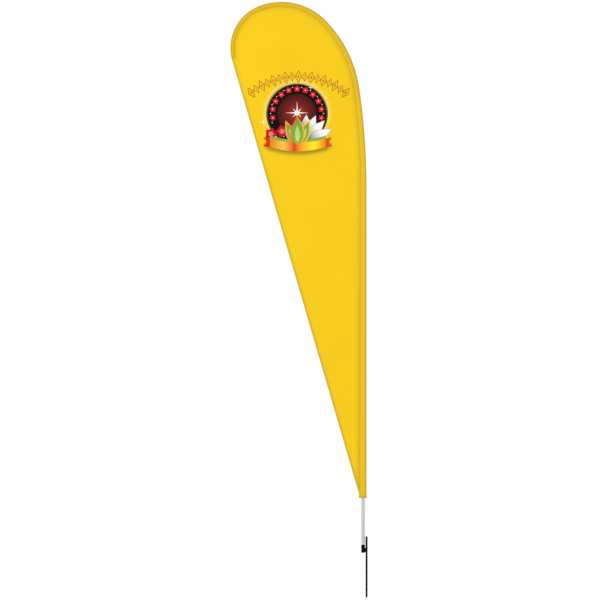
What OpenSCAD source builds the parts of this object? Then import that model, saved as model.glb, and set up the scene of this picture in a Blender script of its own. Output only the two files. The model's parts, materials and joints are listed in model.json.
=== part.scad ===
// Teardrop flag: a fabric flag on a sectional sprung pole that turns on a ground stake.
// The origin is on the stake's axis at the ground line. +Z is up, the pole stands at -X of the
// stake, the flag reaches out towards -X, and Y is the flag's thickness.

/* [Ground stake] */
// Diameter of the steel stake rod
stake_d = 14; // [9:0.5:16]
// Length of the rod below the ground line, point included
stake_depth = 311; // [200:1:500]
// Height of the striking end above the ground line
stake_top = 128; // [90:1:220]
// Length of the point
stake_point = 18; // [10:1:60]
// Free gap between the rod and the hub beside it
lug_gap = 4.1; // [3:0.1:20]
// Height of the lug that joins the rod to the hub
lug_h = 28; // [14:1:34]
// Thickness of the lug
lug_t = 8; // [5:0.5:12]

/* [Spindle hub] */
// Diameter of the steel hub
hub_d = 26.8; // [23.6:0.1:32]
// Height of the hub's underside above the ground line
hub_clear = 10.5; // [5:0.5:40]
// Height of the hub from its end cap to its collar
hub_h = 57.7; // [54:0.1:80]
// Diameter of the spindle pin, which is the bearings' bore
pin_d = 10; // [9.4:0.1:10.6]

/* [Bearings] */
// Outside diameter of each ball bearing
bearing_od = 19; // [18.6:0.1:19.4]
// Width of each ball bearing
bearing_w = 5; // [4.6:0.1:7]
// Diameter of a ball
ball_d = 2.38; // [2:0.02:2.6]
// Number of balls in each bearing
ball_count = 11; // [7:1:13]

/* [Spindle] */
// Height of the flange that the pole stands on
flange_h = 9.4; // [7.5:0.1:16]
// Length of the rotating sleeve above its flange
spindle_h = 203; // [120:1:300]
// Radial clearance between the sleeve and the pole's bore
slide_gap = 0.4; // [0.2:0.05:0.8]

/* [Pole] */
// Outside diameter of the lowest section
pole_d = 25; // [24.6:0.1:30]
// Wall of the lowest section
pole_wall = 1.5; // [1:0.1:1.6]
// Outside diameter of the second section
second_d = 18.5; // [16.5:0.1:19]
// Outside diameter of the third section
third_d = 13.1; // [12:0.1:13.4]
// Outside diameter of the tip section where it leaves the third
tip_d = 7.9; // [6:0.1:8.2]
// Diameter of the tip section at its end
tip_end_d = 5.5; // [4:0.1:6]
// Exposed length of each of the three lower sections
section_len = 1250; // [1000:10:1400]
// Length of each section inside the one below
overlap = 110; // [60:1:180]

/* [Bend of the pole] */
// Height of the straight part of the pole above the ground line
straight_top = 2650; // [2600:10:3400]
// Radius of each arc that the loaded pole bends through, from the foot to the tip
bend_radii = [4930, 855, 425, 308]; // [250:1:9000]
// Angle of each arc
bend_turns = [7.9, 36.5, 68, 80.4]; // [4:0.1:90]

/* [Flag] */
// Height of the sleeve's mouth above the ground line
mouth_z = 402.5; // [380:0.5:700]
// Flat width of the sleeve at its mouth
sleeve_w_mouth = 54; // [50:0.5:70]
// Flat width of the sleeve where the pole starts to bend
sleeve_w_bend = 46; // [44:0.5:60]
// Flat width of the sleeve at its closed end
sleeve_w_tip = 30; // [28:0.5:44]
// Distance from the pole's centreline to the sleeve's outer edge, straight part
outer_edge = 24; // [20:0.5:26]
// The same distance at the closed end
outer_edge_tip = 10; // [10:0.5:14]
// Cloth thickness of the panel
panel_t = 0.8; // [0.4:0.1:2]
// Cloth thickness of the sleeve wall
sleeve_t = 0.8; // [0.4:0.1:1]
// Height of the hem round the sleeve's mouth
mouth_hem_h = 10; // [6:0.5:30]
// Width of the hem along the free edge
edge_hem_w = 12; // [6:0.5:30]
// Width of the webbing tension strap
strap_w = 20; // [18:0.5:25]
// Length of the strap below the mouth
strap_drop = 56; // [35:1:70]

/* [Hidden] */
$fn = 64;

// Clearances
fit_gap = 0.05;      // between a part and the seat it is pressed or screwed into
run_gap = 0.06;      // between a ball and what it rolls or slides on
plug_gap = 0.15;     // between a pole section and the bore it plugs into
bent_gap = 0.3;      // between a short ring and the bent rod it is bonded to
cloth_gap = 0.3;     // between two pieces of cloth, or cloth and a pole
turn_gap = 1;        // between the fixed hub and the rotating flange

// Ground stake
groove_h = 2;        // ground-line groove above the origin
groove_d = 1;
lug_z = hub_clear + hub_h * 0.36;
pole_x = -(stake_d / 2 + lug_gap + hub_d / 2);

// Hub, from its end cap upwards
cap_floor = 5.5;
cap_h = 10;
cap_over = 0.4;
collar_h = 14;
collar_d = hub_d + 1.2;
hub_foot = hub_clear + cap_floor;
hub_head = hub_clear + hub_h;
collar_z = hub_head - collar_h;
spigot_d = hub_d - 3.2;
nose_d = 13;
screw_d = 6;
screw_head_d = 10;
screw_head_h = 6;
pin_foot = hub_foot + 16;
screw_len = 22;

// Spindle and bearings
flange_z = hub_head + turn_gap;
pole_foot = flange_z + flange_h;
lower_bearing_z = flange_z + 1.8;
pole_bore = pole_d - 2 * pole_wall;
spindle_d = pole_bore - 2 * slide_gap;
sleeve_bore = 13.4;
spindle_top = pole_foot + spindle_h;
cap_skirt = 4;
upper_bearing_z = spindle_top - cap_skirt - bearing_w;
pitch_d = (pin_d + bearing_od) / 2;
ring_wall = (bearing_od - pin_d) / 2 * 0.3;
shield_t = 0.4;
cage_t = 0.9;
cage_w = ball_d + 0.7;
thread_d = 8;
washer_d = 13;
washer_t = 1.6;
nut_af = 13;
nut_h = 6.5;
top_cap_h = 15;
o_ring_d = 2;
o_ring_seats = [0.16, 0.84];
o_ring_gap = 0.05;

// Pole sections, as distances along the pole from its foot
bush_flange = 4;
bush_lip = 4;
band_len = 60;
band_wall = 1.1;
stop_len = 12;
tip_cap_d = 13;
tip_cap_len = 32;
second_bore = third_d + 2 * plug_gap + 0.1;
third_bore = tip_d + 2 * plug_gap;

// Bend: [radius, turn] pairs, and the pole's length along them
arcs = [for (i = [0:len(bend_radii) - 1]) [bend_radii[i], bend_turns[i]]];
function arc_len(arc) = arc[0] * arc[1] * PI / 180;
function total(values, i = 0) = i == len(values) ? 0 : values[i] + total(values, i + 1);
straight_len = straight_top - pole_foot;
bend_len = total([for (arc = arcs) arc_len(arc)]);
path_len = straight_len + bend_len;
bend_steps = 54;
step_len = bend_len / bend_steps;

// Where the path is at a distance s from the pole's foot: [x, z, heading], heading 0 is straight up
function along_arc(from, arc, s) =
    let (h = from[2] + s / arc[0] * 180 / PI)
    [from[0] - arc[0] * (cos(from[2]) - cos(h)), from[1] - arc[0] * (sin(from[2]) - sin(h)), h];
function through_arcs(from, s, i) =
    let (length = arc_len(arcs[i]))
    s <= length || i == len(arcs) - 1
        ? along_arc(from, arcs[i], s)
        : through_arcs(along_arc(from, arcs[i], length), s - length, i + 1);
function path_at(s) =
    s <= straight_len
        ? [pole_x, pole_foot + s, 0]
        : through_arcs([pole_x, straight_top, 0], s - straight_len, 0);

// A point at n towards the flag from the path and y through its thickness
function off_path(s, n, y = 0) = let (p = path_at(s)) [p[0] - n * cos(p[2]), y, p[1] - n * sin(p[2])];
function off_path_2d(s, n) = let (p = off_path(s, n)) [p[0], p[2]];

// Distances at which every bent part has a ring of corners, so that nested parts stay parallel
function snap(s) = straight_len + round((s - straight_len) / step_len) * step_len;
function stations(from, to) = concat(
    [from],
    [for (k = [0:bend_steps]) let (s = straight_len + k * step_len)
        if (s > from + 1 && s < to - 1) s],
    [to]
);

// Sleeve shape along the path: share of the bend, distances to its two edges, half thickness
function bent_share(s) = max(0, min(1, (s - straight_len) / bend_len));
mouth_s = mouth_z - pole_foot;
function outer_at(s) = outer_edge + (outer_edge_tip - outer_edge) * bent_share(s);
function width_at(s) = s < straight_len
    ? sleeve_w_mouth + (sleeve_w_bend - sleeve_w_mouth) * (s - mouth_s) / (straight_len - mouth_s)
    : sleeve_w_bend + (sleeve_w_tip - sleeve_w_bend) * bent_share(s);
function seam_at(s) = width_at(s) - outer_at(s);
half_t = pole_d / 2 + 2 * cloth_gap + sleeve_t;
half_t_tip = tip_cap_d / 2 + 3 * cloth_gap + sleeve_t;
function half_at(s) = half_t + (half_t_tip - half_t) * bent_share(s);

// Sections
second_foot = section_len - overlap;
second_top = 2 * section_len - 20;
third_foot = second_top - overlap;
third_top = snap(3 * section_len - 110);
tip_foot = snap(third_top - overlap);
pocket_len = 12;
pocket_s = path_len - pocket_len;
tip_cap_s = pocket_s - tip_cap_len - 1.5;
sleeve_s = mouth_s + mouth_hem_h;
panel_foot_s = mouth_s + 32;

// Tension strap behind the pole
strap_t = 1.6;
strap_y = half_t + 0.7;
strap_top = mouth_z + 34;
strap_end = mouth_z - strap_drop;
peg_neck_d = 6.5;
peg_head_d = 10;
peg_shank_d = 4.8;
eyelet_bore = 10.6;
eyelet_wall = 0.8;
eyelet_rim_d = 17;
peg_z = strap_end + 12;
eyelet_z = peg_z + (eyelet_bore - peg_neck_d) / 2;

// Colours
steel_black = [0.03, 0.03, 0.03];
plastic_black = [0.05, 0.05, 0.05];
bright_steel = [0.72, 0.73, 0.75];
pole_grey = [0.78, 0.78, 0.77];
fibre_white = [0.86, 0.86, 0.83];
flag_yellow = [0.97, 0.81, 0.13];
sleeve_yellow = [0.91, 0.76, 0.15];
webbing_black = [0.08, 0.08, 0.08];

// ---------------------------------------------------------------- helpers

module ring(d_out, d_in, h) {
    difference() {
        cylinder(d = d_out, h = h);
        translate([0, 0, -1]) cylinder(d = d_in, h = h + 2);
    }
}

module on_pole_axis(z) {
    translate([pole_x, 0, z]) children();
}

// Closed loop of corners round the path: an ellipse whose ends are the sleeve's two edges
function ellipse_loop(s, outer, seam, half, count = 20) = [
    for (i = [0:count - 1]) let (t = 360 * i / count)
        off_path(s, (seam - outer) / 2 + (seam + outer) / 2 * cos(t), half * sin(t))
];
function round_loop(s, r, count = 16) = ellipse_loop(s, r, r, r, count);

function wall_faces(count, a, b) = [
    for (i = [0:count - 1]) let (j = (i + 1) % count) [a + i, b + i, b + j, a + j]
];

// Solid through a list of corner loops
module skin(loops) {
    count = len(loops[0]);
    last = len(loops) - 1;
    polyhedron(
        points = [for (loop = loops) each loop],
        faces = concat(
            [[for (i = [0:count - 1]) i]],
            [for (k = [0:last - 1]) each wall_faces(count, k * count, (k + 1) * count)],
            [[for (i = [count - 1:-1:0]) last * count + i]]
        ),
        convexity = 8
    );
}

// Tube between a list of outer loops and the same number of inner loops
module tube_skin(outer, inner) {
    count = len(outer[0]);
    last = len(outer) - 1;
    inside = (last + 1) * count;
    polyhedron(
        points = concat([for (loop = outer) each loop], [for (loop = inner) each loop]),
        faces = concat(
            [for (k = [0:last - 1]) each wall_faces(count, k * count, (k + 1) * count)],
            [for (k = [0:last - 1]) each wall_faces(count, inside + (k + 1) * count, inside + k * count)],
            wall_faces(count, inside, 0),
            wall_faces(count, last * count, inside + last * count)
        ),
        convexity = 8
    );
}

// ---------------------------------------------------------------- ground stake

module stake_rod() {
    r = stake_d / 2;
    dome = 2.5;
    point_r = 1;
    color(steel_black)
        difference() {
            rotate_extrude()
                polygon(concat(
                    [[0, -stake_depth], [point_r, -stake_depth]],
                    [for (k = [1:6]) [point_r + (r - point_r) * sin(15 * k),
                                      -stake_depth + stake_point * (1 - cos(15 * k))]],
                    [[r, stake_top - dome], [r - dome, stake_top], [0, stake_top]]
                ));
            translate([0, 0, groove_h]) ring(stake_d + 4, stake_d - 2 * groove_d, groove_h);
        }
}

module stake_lug() {
    neck = lug_h * 0.88;
    waist_x = -stake_d / 2 - lug_gap * 0.7;
    root_x = -stake_d / 2 - 2;
    color(steel_black)
        difference() {
            translate([0, 0, lug_z])
                rotate([90, 0, 0])
                    linear_extrude(lug_t, center = true)
                        polygon([
                            [0, -lug_h / 2], [root_x, -lug_h / 2], [waist_x, -neck / 2],
                            [pole_x, -neck / 2], [pole_x, neck / 2], [waist_x, neck / 2],
                            [root_x, lug_h / 2], [0, lug_h / 2]
                        ]);
            cylinder(d = stake_d, h = hub_head);
            on_pole_axis(0) cylinder(d = hub_d, h = hub_head);
            on_pole_axis(0) cylinder(d = hub_d + 2 * cap_over + 2 * fit_gap, h = hub_clear + cap_h + fit_gap);
        }
}

// ---------------------------------------------------------------- fixed hub and pin

module spindle_hub() {
    nose_top = lower_bearing_z - hub_foot;
    color(steel_black)
        on_pole_axis(hub_foot)
            difference() {
                union() {
                    cylinder(d = spigot_d, h = hub_head - hub_foot - 1.2);
                    translate([0, 0, cap_h - cap_floor])
                        cylinder(d = hub_d, h = collar_z - hub_foot - cap_h + cap_floor);
                    cylinder(d = nose_d, h = nose_top);
                }
                translate([0, 0, pin_foot - hub_foot])
                    cylinder(d = pin_d + 2 * fit_gap, h = nose_top);
                translate([0, 0, -1]) cylinder(d = screw_d + 2 * fit_gap, h = pin_foot);
                translate([0, 0, -1]) cylinder(d = screw_head_d + 0.6, h = screw_head_h + 1.5);
            }
}

module hub_collar() {
    bevel = 1;
    color(plastic_black)
        on_pole_axis(collar_z)
            rotate_extrude()
                polygon([
                    [spigot_d / 2 + fit_gap, 0], [collar_d / 2 - bevel, 0], [collar_d / 2, bevel],
                    [collar_d / 2, collar_h - bevel], [collar_d / 2 - bevel, collar_h],
                    [spigot_d / 2 + fit_gap, collar_h]
                ]);
}

module hub_end_cap() {
    r = hub_d / 2 + cap_over;
    round_r = 5;
    color(plastic_black)
        on_pole_axis(hub_clear)
            difference() {
                rotate_extrude()
                    polygon(concat(
                        [[0, 0]],
                        [for (k = [0:6]) [r - round_r + round_r * sin(15 * k), round_r * (1 - cos(15 * k))]],
                        [[r, cap_h], [0, cap_h]]
                    ));
                translate([0, 0, cap_floor]) cylinder(d = spigot_d + 2 * fit_gap, h = cap_h);
            }
}

module hub_screw() {
    head_z = hub_foot + 0.4;
    color(bright_steel)
        on_pole_axis(head_z)
            difference() {
                union() {
                    cylinder(d = screw_head_d, h = screw_head_h);
                    cylinder(d = screw_d, h = screw_head_h + screw_len);
                }
                translate([0, 0, -1]) cylinder(d = 5.77, h = 4, $fn = 6);
            }
}

module spindle_pin() {
    top = upper_bearing_z + bearing_w;
    color(bright_steel)
        on_pole_axis(pin_foot)
            difference() {
                union() {
                    cylinder(d = pin_d, h = top - pin_foot);
                    cylinder(d = thread_d, h = top - pin_foot + washer_t + nut_h + 2);
                }
                translate([0, 0, -1]) cylinder(d = screw_d + 2 * fit_gap, h = screw_len);
            }
}

module bearing_spacer() {
    foot = lower_bearing_z + bearing_w;
    color(bright_steel)
        on_pole_axis(foot)
            ring(pin_d + 2.4, pin_d + 2 * fit_gap, upper_bearing_z - foot);
}

module top_washer() {
    color(bright_steel)
        on_pole_axis(upper_bearing_z + bearing_w)
            ring(washer_d, thread_d + 2 * fit_gap, washer_t);
}

module top_nut() {
    color(bright_steel)
        on_pole_axis(upper_bearing_z + bearing_w + washer_t)
            difference() {
                cylinder(d = nut_af / cos(30), h = nut_h, $fn = 6);
                translate([0, 0, -1]) cylinder(d = thread_d + 2 * fit_gap, h = nut_h + 2);
            }
}

// ---------------------------------------------------------------- ball bearings

module ball_groove() {
    rotate_extrude() translate([pitch_d / 2, bearing_w / 2]) circle(d = ball_d + 2 * run_gap);
}

module bearing_inner_ring(z) {
    color(bright_steel)
        on_pole_axis(z)
            difference() {
                ring(pin_d + 2 * ring_wall, pin_d + 2 * fit_gap, bearing_w);
                ball_groove();
            }
}

module bearing_outer_ring(z) {
    color(bright_steel)
        on_pole_axis(z)
            difference() {
                ring(bearing_od - 2 * fit_gap, bearing_od - 2 * ring_wall, bearing_w);
                ball_groove();
            }
}

module bearing_balls(z) {
    color(bright_steel)
        on_pole_axis(z + bearing_w / 2)
            for (k = [0:ball_count - 1])
                rotate(360 * k / ball_count) translate([pitch_d / 2, 0, 0]) sphere(d = ball_d);
}

module bearing_cage(z) {
    color(fibre_white)
        on_pole_axis(z + (bearing_w - cage_w) / 2)
            difference() {
                ring(pitch_d + cage_t, pitch_d - cage_t, cage_w);
                for (k = [0:ball_count - 1])
                    rotate(360 * k / ball_count)
                        translate([pitch_d / 2, 0, cage_w / 2])
                            rotate([0, 90, 0])
                                cylinder(d = ball_d + 2 * run_gap, h = 3 * cage_t, center = true);
            }
}

module bearing_shields(z) {
    color(bright_steel)
        for (side = [0, bearing_w - shield_t])
            on_pole_axis(z + side)
                ring(bearing_od - 2 * ring_wall - 2 * fit_gap, pin_d + 2 * ring_wall + 0.4, shield_t);
}

// ---------------------------------------------------------------- rotating spindle

module spindle_sleeve() {
    groove_r = pole_bore / 2 - o_ring_gap - o_ring_d;
    groove_half = o_ring_d / 2 + 0.1;
    bevel = 0.6;
    color(bright_steel)
        on_pole_axis(0)
            difference() {
                rotate_extrude()
                    polygon([
                        [sleeve_bore / 2, lower_bearing_z + bearing_w],
                        [bearing_od / 2, lower_bearing_z + bearing_w],
                        [bearing_od / 2, flange_z],
                        [pole_d / 2 - bevel, flange_z], [pole_d / 2, flange_z + bevel],
                        [pole_d / 2, pole_foot], [spindle_d / 2, pole_foot],
                        [spindle_d / 2, spindle_top], [bearing_od / 2, spindle_top],
                        [bearing_od / 2, upper_bearing_z], [sleeve_bore / 2, upper_bearing_z]
                    ]);
                for (seat = o_ring_seats)
                    translate([0, 0, pole_foot + seat * spindle_h - groove_half])
                        ring(spindle_d + 2, 2 * groove_r, 2 * groove_half);
            }
}

module spindle_o_rings() {
    color(plastic_black)
        for (seat = o_ring_seats)
            on_pole_axis(pole_foot + seat * spindle_h)
                rotate_extrude()
                    translate([pole_bore / 2 - o_ring_gap - o_ring_d / 2, 0]) circle(d = o_ring_d);
}

module spindle_top_cap() {
    skirt_r = bearing_od / 2 - fit_gap;
    inner_r = nut_af / cos(30) / 2 + 0.7;
    top_r = spindle_d / 2 - 4;
    color(plastic_black)
        on_pole_axis(spindle_top - cap_skirt)
            rotate_extrude()
                polygon([
                    [inner_r, 0], [skirt_r, 0], [skirt_r, cap_skirt], [spindle_d / 2, cap_skirt],
                    [spindle_d / 2, cap_skirt + 3], [top_r, cap_skirt + top_cap_h],
                    [0, cap_skirt + top_cap_h], [0, cap_skirt + top_cap_h - 2],
                    [top_r - 1, cap_skirt + top_cap_h - 2], [inner_r, cap_skirt + 8]
                ]);
}

// ---------------------------------------------------------------- pole sections

module lower_pole() {
    color(pole_grey)
        difference() {
            on_pole_axis(pole_foot) ring(pole_d, pole_bore, section_len);
            translate([pole_x, 0, peg_z]) rotate([-90, 0, 0]) cylinder(d = peg_shank_d + 0.2, h = pole_d);
        }
}

module reducer_bush() {
    foot = pole_foot + second_foot - bush_lip;
    top = pole_foot + section_len;
    color(plastic_black)
        on_pole_axis(foot)
            difference() {
                union() {
                    cylinder(d = pole_bore - 2 * fit_gap, h = top - foot);
                    translate([0, 0, top - foot]) cylinder(d = pole_d, h = bush_flange);
                }
                translate([0, 0, bush_lip])
                    cylinder(d = second_d + 2 * plug_gap, h = top - foot + bush_flange);
                translate([0, 0, -1]) cylinder(d = second_bore, h = bush_lip + 2);
            }
}

module second_pole() {
    color(fibre_white)
        on_pole_axis(pole_foot + second_foot)
            ring(second_d, second_bore, second_top - second_foot);
}

module second_pole_band() {
    color(bright_steel)
        on_pole_axis(pole_foot + second_top - band_len)
            ring(second_d + 2 * fit_gap + 2 * band_wall, second_d + 2 * fit_gap, band_len);
}

module third_stop_collar() {
    color(plastic_black)
        on_pole_axis(pole_foot + second_top)
            ring(second_d, third_d + 2 * fit_gap, stop_len);
}

module bent_tube(from, to, r_out, r_in) {
    spots = stations(from, to);
    tube_skin([for (s = spots) round_loop(s, r_out)], [for (s = spots) round_loop(s, r_in)]);
}

module third_pole() {
    color(fibre_white) bent_tube(third_foot, third_top, third_d / 2, third_bore / 2);
}

module third_pole_band() {
    r = third_d / 2 + bent_gap;
    color(bright_steel) bent_tube(third_top - step_len, third_top, r + band_wall, r);
}

module tip_stop_collar() {
    color(plastic_black)
        bent_tube(third_top + cloth_gap, third_top + stop_len, third_d / 2, tip_d / 2 + bent_gap);
}

module tip_pole() {
    end = tip_cap_s + tip_cap_len / 2;
    function r_at(s) =
        let (share = max(0, (s - third_top) / (end - third_top)))
        (tip_d + (tip_end_d - tip_d) * share) / 2;
    color(fibre_white) skin([for (s = stations(tip_foot, end)) round_loop(s, r_at(s))]);
}

module pole_tip_cap() {
    bore_len = tip_cap_len / 2 + cloth_gap;
    bore_d = tip_end_d + 2 * bent_gap + 0.2;
    spot = path_at(tip_cap_s + bore_len / 2);
    cap_r = tip_cap_d / 2;
    round_r = 5;
    color(plastic_black)
        translate([spot[0], 0, spot[1]])
            rotate([0, -spot[2], 0])
                translate([0, 0, -bore_len / 2])
                    difference() {
                        rotate_extrude()
                            polygon(concat(
                                [[0, 0], [cap_r * 0.8, 0], [cap_r, tip_cap_len / 2]],
                                [for (k = [0:6]) [cap_r - round_r * (1 - cos(15 * k)),
                                                  tip_cap_len - round_r * (1 - sin(15 * k))]],
                                [[0, tip_cap_len]]
                            ));
                        translate([0, 0, -1]) cylinder(d = bore_d, h = bore_len + 1);
                    }
}

module strap_peg() {
    neck_end = strap_y + strap_t + 1.2;
    inner_face = pole_bore / 2 - 0.8;
    color(bright_steel)
        translate([pole_x, 0, peg_z])
            rotate([-90, 0, 0])
                rotate_extrude()
                    polygon([
                        [0, inner_face - 1.2], [3.6, inner_face - 1.2], [3.6, inner_face],
                        [peg_shank_d / 2, inner_face], [peg_shank_d / 2, pole_d / 2 + fit_gap],
                        [peg_neck_d / 2, pole_d / 2 + fit_gap], [peg_neck_d / 2, neck_end],
                        [peg_head_d / 2, neck_end], [peg_head_d / 2, neck_end + 1.4],
                        [peg_head_d / 2 - 1.2, neck_end + 2.6], [0, neck_end + 2.6]
                    ]);
}

// ---------------------------------------------------------------- flag

flag_tip = off_path_2d(path_len + cloth_gap, -outer_at(path_len));
flag_corner = off_path_2d(panel_foot_s, seam_at(panel_foot_s) + cloth_gap);
edge_dir = (flag_corner - flag_tip) / norm(flag_corner - flag_tip);
edge_in = [-edge_dir[1], edge_dir[0]];
hem_wall = 0.6;

module flag_outline() {
    seam = [for (s = stations(panel_foot_s, path_len + cloth_gap)) off_path_2d(s, seam_at(s) + cloth_gap)];
    polygon(concat(seam, [flag_tip]));
}

// Strip along the free edge, from one depth inside it to another
module edge_strip(from, to) {
    reach = 20;
    polygon([
        flag_tip - reach * edge_dir + from * edge_in, flag_corner + reach * edge_dir + from * edge_in,
        flag_corner + reach * edge_dir + to * edge_in, flag_tip - reach * edge_dir + to * edge_in
    ]);
}

module cloth(thickness) {
    rotate([90, 0, 0]) linear_extrude(thickness, center = true) children();
}

module flag_panel() {
    color(flag_yellow)
        cloth(panel_t)
            difference() {
                flag_outline();
                edge_strip(-5, hem_wall + cloth_gap);
            }
}

module edge_hem() {
    slot = panel_t + 2 * 0.1;
    color(flag_yellow)
        difference() {
            cloth(slot + 2 * hem_wall)
                intersection() {
                    flag_outline();
                    edge_strip(0, edge_hem_w);
                }
            cloth(slot) edge_strip(hem_wall, edge_hem_w + 5);
        }
}

module pole_sleeve() {
    spots = stations(sleeve_s, pocket_s);
    color(sleeve_yellow)
        tube_skin(
            [for (s = spots) ellipse_loop(s, outer_at(s), seam_at(s), half_at(s))],
            [for (s = spots)
                ellipse_loop(s, outer_at(s) - sleeve_t, seam_at(s) - sleeve_t, half_at(s) - sleeve_t)]
        );
}

module mouth_hem() {
    color(sleeve_yellow)
        tube_skin(
            [for (s = [mouth_s, sleeve_s])
                ellipse_loop(s, outer_at(s) + 0.3, seam_at(s), half_at(s) + 0.5)],
            [for (s = [mouth_s, sleeve_s])
                ellipse_loop(s, outer_at(s) - sleeve_t, seam_at(s) - sleeve_t, half_at(s) - sleeve_t)]
        );
}

module tip_pocket() {
    color(sleeve_yellow)
        skin([
            for (k = [0:2])
                let (s = pocket_s + pocket_len * k / 2, size = [1, 0.97, 0.8][k])
                ellipse_loop(s, outer_at(s) * (k < 2 ? 1 : 0.97), seam_at(s), half_at(s) * size)
        ]);
}

module tension_strap() {
    color(webbing_black)
        difference() {
            translate([pole_x - strap_w / 2, strap_y, strap_end])
                cube([strap_w, strap_t, strap_top - strap_end]);
            translate([pole_x, strap_y - 1, eyelet_z])
                rotate([-90, 0, 0])
                    cylinder(d = eyelet_bore + 2 * eyelet_wall + 2 * fit_gap, h = strap_t + 2);
        }
}

module strap_grommet() {
    rim = 0.5;
    color(bright_steel)
        translate([pole_x, strap_y, eyelet_z])
            rotate([-90, 0, 0])
                rotate_extrude()
                    polygon([
                        [eyelet_bore / 2, -rim - fit_gap], [eyelet_rim_d / 2, -rim - fit_gap],
                        [eyelet_rim_d / 2, -fit_gap], [eyelet_bore / 2 + eyelet_wall, -fit_gap],
                        [eyelet_bore / 2 + eyelet_wall, strap_t + fit_gap],
                        [eyelet_rim_d / 2, strap_t + fit_gap], [eyelet_rim_d / 2, strap_t + rim + fit_gap],
                        [eyelet_bore / 2, strap_t + rim + fit_gap]
                    ]);
}

// ---------------------------------------------------------------- nodes

stake_rod();
stake_lug();
spindle_hub();
hub_collar();
hub_end_cap();
hub_screw();
spindle_pin();
bearing_spacer();
top_washer();
top_nut();
bearing_inner_ring(lower_bearing_z);  // lower_bearing_inner_ring
bearing_inner_ring(upper_bearing_z);  // upper_bearing_inner_ring
bearing_cage(lower_bearing_z);  // lower_bearing_cage
bearing_cage(upper_bearing_z);  // upper_bearing_cage
bearing_balls(lower_bearing_z);  // lower_bearing_balls
bearing_balls(upper_bearing_z);  // upper_bearing_balls
spindle_sleeve();
bearing_outer_ring(lower_bearing_z);  // lower_bearing_outer_ring
bearing_outer_ring(upper_bearing_z);  // upper_bearing_outer_ring
bearing_shields(lower_bearing_z);  // lower_bearing_shields
bearing_shields(upper_bearing_z);  // upper_bearing_shields
spindle_o_rings();
spindle_top_cap();
lower_pole();
reducer_bush();
second_pole();
second_pole_band();
third_stop_collar();
third_pole();
third_pole_band();
tip_stop_collar();
tip_pole();
pole_tip_cap();
strap_peg();
flag_panel();
pole_sleeve();
mouth_hem();
edge_hem();
tip_pocket();
tension_strap();
strap_grommet();
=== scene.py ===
"""Looks of a teardrop flag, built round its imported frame: metres, +Z up, the flag's plane at y = 0."""

import json
import math

import bpy
import numpy as np
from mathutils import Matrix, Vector
from mathutils.geometry import delaunay_2d_cdt


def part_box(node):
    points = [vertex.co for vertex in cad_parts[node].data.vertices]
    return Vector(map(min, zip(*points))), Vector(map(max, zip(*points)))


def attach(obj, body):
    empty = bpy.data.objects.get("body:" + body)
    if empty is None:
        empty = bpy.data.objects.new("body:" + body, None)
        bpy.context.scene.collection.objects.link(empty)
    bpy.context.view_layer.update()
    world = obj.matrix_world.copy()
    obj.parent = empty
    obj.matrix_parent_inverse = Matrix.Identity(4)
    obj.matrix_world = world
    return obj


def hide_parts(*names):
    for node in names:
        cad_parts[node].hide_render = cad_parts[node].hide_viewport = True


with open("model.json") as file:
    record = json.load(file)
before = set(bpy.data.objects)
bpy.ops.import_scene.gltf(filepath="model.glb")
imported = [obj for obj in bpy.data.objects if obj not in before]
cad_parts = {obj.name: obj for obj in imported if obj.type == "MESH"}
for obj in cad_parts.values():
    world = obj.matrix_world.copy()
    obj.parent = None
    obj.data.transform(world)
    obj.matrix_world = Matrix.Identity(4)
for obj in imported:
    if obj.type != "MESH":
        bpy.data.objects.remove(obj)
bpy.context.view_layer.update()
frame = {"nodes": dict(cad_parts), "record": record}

BODY = "pole_and_flag"

# --- the pole's line and the flag's outline

POLE_LOW, POLE_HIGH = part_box("lower_pole")
POLE_X = (POLE_LOW.x + POLE_HIGH.x) / 2
STRAIGHT_TOP = 2.650             # height where the pole starts to bend
BEND = [(4.930, 7.9), (0.855, 36.5), (0.425, 68.0), (0.308, 80.4)]   # radius and degrees of each arc
BEND_LENGTH = sum(radius * math.radians(turn) for radius, turn in BEND)
STRAIGHT = STRAIGHT_TOP - POLE_LOW.z
PATH_END = STRAIGHT + BEND_LENGTH

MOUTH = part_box("mouth_hem")[0].z - POLE_LOW.z
MOUTH_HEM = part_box("mouth_hem")[1].z - POLE_LOW.z
PANEL_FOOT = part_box("edge_hem")[0].z - POLE_LOW.z
POCKET = PATH_END - 0.012
OUTER_EDGE = (0.024, 0.010)      # pole's line to the sleeve's outer edge: at the foot, at the tip
WIDTHS = (0.054, 0.046, 0.030)   # sleeve lying flat: at its mouth, where the bend starts, at the tip
HALF_SLEEVE = (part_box("pole_sleeve")[1].y, 0.0085)
CLOTH = 0.0005                   # thickness of the cloth
GAP = 0.0003                     # between two pieces of cloth
TUCK = 0.0035                    # how far the panel's edge is tucked into the sleeve's seam
WEAVE_PITCH = 0.0009             # two yarns of the printed cloth
WEAVE_DEPTH = 0.00012            # bump of the printed cloth
PANEL_SPACING = 0.011            # between the points of the panel's mesh
PRINT_SPACING = 0.008            # the same for what is printed on it
FINE_SPACING = 0.004             # the same for inks near the puckered seam
RIM_CLEAR = 0.45                 # share of the spacing that inner points keep from a rim
CHUNK = 4000                     # points compared at a time with a line or a rim


def path(s):
    """x, z and heading of the pole's line at distances s from its foot; heading 0 is straight up."""
    s = np.asarray(s, float)
    x, z, heading = np.full(s.shape, POLE_X), POLE_LOW.z + np.minimum(s, STRAIGHT), np.zeros(s.shape)
    start = STRAIGHT
    for radius, turn in BEND:
        length = radius * math.radians(turn)
        turned = heading + np.clip(s - start, 0, length) / radius
        x = x - radius * (np.cos(heading) - np.cos(turned))
        z = z - radius * (np.sin(heading) - np.sin(turned))
        heading, start = turned, start + length
    return x, z, heading


def beside(s, n):
    """x and z of the point at n from the pole's line, towards the inside of the flag."""
    x, z, heading = path(s)
    return x - n * np.cos(heading), z - n * np.sin(heading)


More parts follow.
